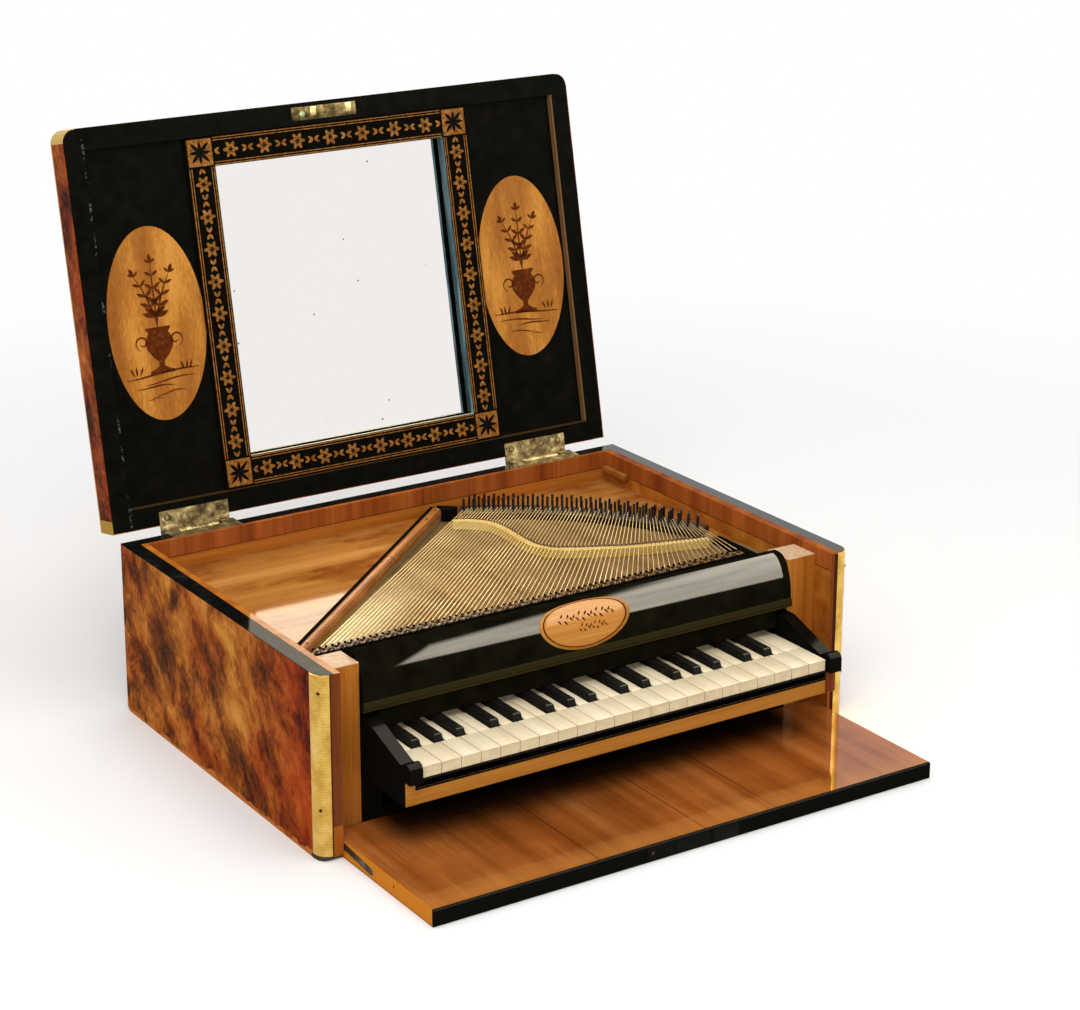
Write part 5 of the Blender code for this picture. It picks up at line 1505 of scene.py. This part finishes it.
def wrapped_oval(name, half_width, share_low, share_high, proud, material, hollow=0.0):
    """An oval, or an oval ring, wrapped on the curved face."""
    bm = bmesh.new()
    rings = []
    steps, layers = 48, 6
    middle, reach = (share_low + share_high) / 2, (share_high - share_low) / 2
    for layer in range(layers + 1):
        grow = hollow + (1 - hollow) * layer / layers
        ring = []
        for step in range(steps):
            angle = 2 * math.pi * step / steps
            ring.append(bm.verts.new(on_face(half_width * grow * math.cos(angle),
                                             middle + reach * grow * math.sin(angle), proud)))
        rings.append(ring)
    for inner, outer in zip(rings, rings[1:]):
        for step in range(steps):
            after = (step + 1) % steps
            corners = [inner[step], outer[step], outer[after], inner[after]]
            bm.faces.new(corners)
    bmesh.ops.remove_doubles(bm, verts=bm.verts, dist=0.000001)
    piece = place_piece(name, bm, material, "case")
    thick = piece.modifiers.new("thick", "SOLIDIFY")
    thick.thickness = 0.12 * MM
    thick.offset = -1
    return piece


def garland(bm, left, right, level, size):
    """A waving row of small leaves across the plaque, level metres above its middle."""
    count = round((right - left) / (0.62 * size))
    for number in range(count):
        x = left + (right - left) * (number + 0.5) / count
        lift = level + 0.25 * size * math.sin(2.1 * number)
        lean = 55 if number % 2 else -50
        direction = (math.cos(math.radians(lean)), math.sin(math.radians(lean)))
        outline = leaf((x, lift), direction, size, size * 0.34)
        face = [bm.verts.new(on_face(px, PLAQUE_MIDDLE + py / FACE_ARC, 0.27 * MM))
                for px, py in outline]
        bm.faces.new(face)


def plaque_garlands():
    """A longer garland and a shorter one under it, in brown ink."""
    bm = bmesh.new()
    garland(bm, -21 * MM, 21 * MM, 2.6 * MM, 3.6 * MM)
    garland(bm, -6 * MM, 15 * MM, -4.4 * MM, 2.6 * MM)
    piece = place_piece("plaque_garlands", bm, brown_ink, "case")
    thick = piece.modifiers.new("thick", "SOLIDIFY")
    thick.thickness = 0.1 * MM
    thick.offset = -1


PLAQUE_MIDDLE = 0.455
FACE_ARC = 34.5 * MM
plaque_wood = straight_finish("polished_plaque", "X", ((0.30, "#A8662A"), (0.48, "#C48238"),
                                                       (0.60, "#D08F42"), (0.75, "#DEA254")),
                              0.4, 0.10, 0.08)
wrapped_oval("nameboard_plaque", PLAQUE_HALF, 0.0, 0.91, 0.15 * MM, plaque_wood)
wrapped_oval("nameboard_plaque_line", PLAQUE_HALF * 0.93, 0.036, 0.874, 0.28 * MM, brown_ink,
             0.965)
plaque_garlands()
print("plaque on the nameboard")

# %% [markdown]
# ## The harp's small pieces
# Each note has two strings of thin brass wire. They are drawn anew along the model's own strings,
# a hair thicker so that they show, and where they cross the bridge a small pin guides each of them.
# A rounded brown batten lies on the slanted rail, and a braid of list is woven through the pegs.

# %% Harp details
WIRE_RADIUS = 0.27 * MM
BRIDGE_PIN_RADIUS = 0.5 * MM
BRIDGE_PIN_HEIGHT = 1.7 * MM
LONG_EDGE = 20 * MM
PEG_GAP = 2 * MM


def wire_ends():
    """Both ends of every string, read from the long edges of the model's strings."""
    strings = frame["nodes"]["strings"]
    places = [strings.matrix_world @ vert.co - FRONT_EDGE for vert in strings.data.vertices]
    pairs = []
    for edge in strings.data.edges:
        near, far = sorted((places[index] for index in edge.vertices), key=lambda end: end.y)
        if far.y - near.y > LONG_EDGE:
            pairs.append((near, far))
    pairs.sort(key=lambda pair: pair[0].x)
    groups = [[pairs[0]]]
    for pair in pairs[1:]:
        if pair[0].x - groups[-1][-1][0].x > PEG_GAP:
            groups.append([])
        groups[-1].append(pair)
    return [tuple(sum((pair[end] for pair in group), Vector()) / len(group) for end in (0, 1))
            for group in groups]


def tube(bm, points, radius, sides=6):
    """A thin tube along points."""
    rings = []
    for index, point in enumerate(points):
        before, after = points[max(index - 1, 0)], points[min(index + 1, len(points) - 1)]
        turn = (after - before).to_track_quat("Z", "Y")
        ring = []
        for step in range(sides):
            angle = 2 * math.pi * step / sides
            offset = turn @ Vector((radius * math.cos(angle), radius * math.sin(angle), 0))
            ring.append(bm.verts.new(point + offset))
        rings.append(ring)
    for first, last in zip(rings, rings[1:]):
        for step in range(sides):
            after = (step + 1) % sides
            bm.faces.new((first[step], first[after], last[after], last[step]))
    bm.faces.new(rings[0][::-1])
    bm.faces.new(rings[-1])


def wire_set(wires):
    """All strings as round wires in place of the model's own."""
    bm = bmesh.new()
    for near, far in wires:
        tube(bm, [near, far], WIRE_RADIUS, 8)
    piece = place_piece("brass_strings", bm, wire_finish(), "case")
    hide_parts("strings")


def bridge_pins(wires):
    """A small pin where each string leaves the bridge."""
    bridge = frame["nodes"]["bridge"]
    to_bridge = bridge.matrix_world.inverted() @ Matrix.Translation(FRONT_EDGE)
    bm = bmesh.new()
    for near, far in wires:
        for step in range(200, 0, -1):
            point = near.lerp(far, step / 200)
            origin = to_bridge @ Vector((point.x, point.y, CASE_TOP))
            found, place, _normal, _face = bridge.ray_cast(origin, Vector((0, 0, -1)))
            if found:
                top = to_bridge.inverted() @ place
                stud(bm, top - (far - near).normalized() * 0.4 * MM, (0, 0, 1),
                     BRIDGE_PIN_RADIUS, BRIDGE_PIN_HEIGHT, 6, 0.9)
                break
    place_piece("bridge_pins", bm, dark_steel, "case")


def braid(name, material, phase, wires):
    """One strand of the list that winds between the hitch pegs."""
    first, last = wires[0][0], wires[-1][0]
    steps = (len(wires) - 1) * 4
    points = []
    for step in range(steps + 1):
        point = first.lerp(last, step / steps)
        swing = math.sin(math.pi * step / 4 + phase)
        points.append(Vector((point.x, BRAID_LINE + swing * 1.4 * MM, point.z + swing * 0.5 * MM)))
    bm = bmesh.new()
    tube(bm, points, 0.8 * MM)
    place_piece(name, bm, material, "case")


def list_finish(name, left, right):
    """Woollen list that turns from one colour at the left to another at the right."""
    material, tree = new_finish(name, roughness=0.9, specular_ior_level=0.05)
    place, across, _depth, _height = object_coords(tree)
    fluff = add(tree, "TexNoise", {"Vector": place, "Scale": 1 / (2.5 * MM), "Detail": 3})
    share = add(tree, "MapRange", {"Value": across, "From Min": -0.5 * INNER_HALF,
                                   "From Max": 0.3 * INNER_HALF}).outputs["Result"]
    base = paint(tree, share, colour(right), colour(left))
    face = add(tree, "Mix", {0: 0.5, 6: base, 7: fluff.outputs["Color"]}, data_type="RGBA",
               blend_type="OVERLAY").outputs[2]
    plug(tree, tree.nodes["Principled BSDF"], {"Base Color": face})
    return material


BATTEN_PROFILE = ((-1.4, 8.0), (-1.4, 9.3), (-0.6, 9.9), (0.8, 10.3), (2.4, 10.2), (3.8, 9.6),
                  (4.7, 8.6), (5.1, 7.2), (5.1, 5.0), (4.0, 5.0))


def rail_batten():
    """The rounded brown batten along the slanted rail, in two lengths that meet end to end."""
    start, corner = rail_line()
    run = corner - start
    along = run.normalized()
    inward = Vector((along.y, -along.x))
    bm = bmesh.new()
    for low, high in BATTEN_RUNS:
        rings = []
        for share in (low, high):
            middle = start + run * share
            rings.append([bm.verts.new((*(middle + inward * across * MM), DECK_TOP + rise * MM))
                          for across, rise in BATTEN_PROFILE])
        count = len(BATTEN_PROFILE)
        for step in range(count):
            after = (step + 1) % count
            bm.faces.new((rings[0][step], rings[0][after], rings[1][after], rings[1][step]))
        bm.faces.new(rings[0])
        bm.faces.new(rings[1][::-1])
    place_piece("slanted_rail_batten", bm, rail_wood, "case")
    screws = bmesh.new()
    for share in BATTEN_SCREWS:
        spot = start + run * share + inward * 2.2 * MM
        stud(screws, (*spot, DECK_TOP + 10 * MM), (0, 0, 1), 1.1 * MM, 0.7 * MM)
    place_piece("slanted_rail_screws", screws, screw_iron, "case")


def corner_ledge():
    """The small block on the right wall in the back corner that carries the lid stay."""
    bm = bmesh.new()
    block(bm, (INNER_HALF - 4.5 * MM, INNER_BACK - 30 * MM, CASE_TOP - 14 * MM),
          (INNER_HALF - 0.1 * MM, INNER_BACK - 3 * MM, CASE_TOP - 9.5 * MM), 0.6 * MM)
    place_piece("corner_ledge", bm, rail_wood, "case")


BATTEN_RUNS = ((0.012, 0.620), (0.623, 0.985))
BATTEN_SCREWS = (0.06, 0.90, 0.965)
BRAID_LINE = RAIL_LOW[1] + 7.6 * MM
dark_steel = brass_finish("dark_steel_pins", ((0.35, "#2A2426"), (0.60, "#544A4C"),
                                              (0.80, "#8A7F7C")), 0.4, 2 * MM)
rail_wood = straight_finish("brown_rail", "X", ((0.30, "#7C431A"), (0.5, "#A0622A"),
                                                (0.72, "#B87638")), 0.4, 0.02, 0.1)
note_wires = wire_ends()
wire_set(note_wires)
bridge_pins(note_wires)
braid("list_braid_dark", list_finish("brown_list", "#4A3020", "#3A2412"), 0, note_wires)
braid("list_braid_pale", list_finish("pale_list", "#92806A", "#785A32"), math.pi, note_wires)
rail_batten()
corner_ledge()
print(len(note_wires), "strings")

# %% [markdown]
# ## Hinges, lock and catch
# The lid leaves of the hinges go down to the pin over their whole length, and three screws hold
# each of them. The lid's rim carries a dark catch plate with two loops, and the fall's edge has a
# blackened lock plate with two slits. Both lie nearly flush, so that the lid and the fall shut.

# %% Hinges, lock and catch


def hinge_dress(hand, side):
    """Skirts beside the hinge's middle strap, and three sunk screws in the leaf, each in a dark ring of
    painted shade for its countersink.
    """
    middle = side * (INNER_HALF - HINGE_INSET)
    left, right = middle - HINGE_HALF, middle + HINGE_HALF
    skirts, rings, heads = bmesh.new(), bmesh.new(), bmesh.new()
    for start, end in ((left, left + HINGE_KNUCKLE + 1 * MM), (right - HINGE_KNUCKLE - 1 * MM, right)):
        block(skirts, (start, CASE_BACK + 0.2 * MM, LID_BOTTOM + 0.1 * MM),
              (end, LID_AXIS.y - 0.2 * MM, LID_BOTTOM + 1.1 * MM), 0.1 * MM)
    # painted shade: a dark ring round each screw head stands for the shade in its countersink
    for share in (-0.78, 0.22, 0.78):
        spot = (middle + HINGE_HALF * share, CASE_BACK - 4.8 * MM, LID_BOTTOM)
        stud(rings, spot, (0, 0, -1), 2.4 * MM, 0.06 * MM, 20, 1)
        stud(heads, spot, (0, 0, -1), 1.6 * MM, 0.14 * MM, 16, 0.9)
    place_piece(f"lid_hinge_{hand}_skirts", skirts, hinge_brass, "lid", OPEN_LID)
    place_piece(f"lid_hinge_{hand}_countersink_shades", rings, screw_iron, "lid", OPEN_LID)
    place_piece(f"lid_hinge_{hand}_screws", heads, hinge_brass, "lid", OPEN_LID)


def catch_plate():
    """The dark catch plate on the lid's rim, with its two brighter loops and a green screw."""
    plate, loops, screw = bmesh.new(), bmesh.new(), bmesh.new()
    low = LID_BOTTOM - 0.15 * MM
    block(plate, (-28.5 * MM, 2.9 * MM, low), (22.4 * MM, 12.1 * MM, LID_BOTTOM), 0.1 * MM)
    for x in (-11.6 * MM, 16.4 * MM):
        block(loops, (x - 2.3 * MM, 3.4 * MM, low - 0.1 * MM), (x + 2.3 * MM, 9.6 * MM, low), 0.08 * MM)
    stud(screw, (-20.2 * MM, 8 * MM, low), (0, 0, -1), 2.1 * MM, 0.1 * MM)
    place_piece("catch_plate", plate, catch_brass, "lid", OPEN_LID)
    place_piece("catch_loops", loops, loop_brass, "lid", OPEN_LID)
    place_piece("catch_screw", screw, green_screw, "lid", OPEN_LID)


def lock_plate():
    """The blackened plate in the fall's front edge, its two slits as black slabs of painted shade, and
    its screws.
    """
    front = FALL_LOW[1]
    plate, slits, screws = bmesh.new(), bmesh.new(), bmesh.new()
    block(plate, (-36 * MM, front - 0.08 * MM, 1.4 * MM), (32 * MM, front + 0.4 * MM, 9.6 * MM),
          0.06 * MM)
    # painted shade: each slit is a black slab a fraction proud, standing for the dark opening
    for x in (-15.7 * MM, 11.9 * MM):
        block(slits, (x - 1.3 * MM, front - 0.14 * MM, 1.6 * MM),
              (x + 1.3 * MM, front + 0.5 * MM, 10.4 * MM), 0.1 * MM)
    stud(screws, (-32 * MM, front, 5.5 * MM), (0, -1, 0), 1.4 * MM, 0.15 * MM)
    stud(screws, (FALL_LOW[0], -58 * MM, 6.4 * MM), (-1, 0, 0), 0.9 * MM, 0.15 * MM)
    place_piece("lock_plate", plate, black_iron, "fall")
    place_piece("lock_slit_shades", slits, lacquer, "fall")
    place_piece("lock_screws", screws, rusty_screw, "fall")


HINGE_INSET = 46 * MM
HINGE_HALF = 26 * MM
HINGE_KNUCKLE = 10.4 * MM
black_iron = ebony_finish("blackened_iron", 0.3, 0.03)
catch_brass = brass_finish("blackened_catch_brass", ((0.34, "#1C180E"), (0.46, "#332C1B"),
                                                     (0.56, "#4A412C"), (0.68, "#6E6344")), 0.55,
                           6 * MM)
loop_brass = brass_finish("worn_loop_brass", ((0.30, "#6A6040"), (0.55, "#8C8258"),
                                              (0.75, "#D2C898")), 0.5, 3 * MM)
green_screw = brass_finish("green_screw", ((0.30, "#38442E"), (0.55, "#56644A"),
                                           (0.75, "#9AA88C")), 0.5, 2 * MM)
rusty_screw = brass_finish("rusty_screw", ((0.30, "#2A150C"), (0.55, "#50291A"), (0.75, "#7A4A34")),
                           0.55, 2 * MM)
hinge_dress("left", -1)
hinge_dress("right", 1)
catch_plate()
lock_plate()
print("hinges, catch and lock")
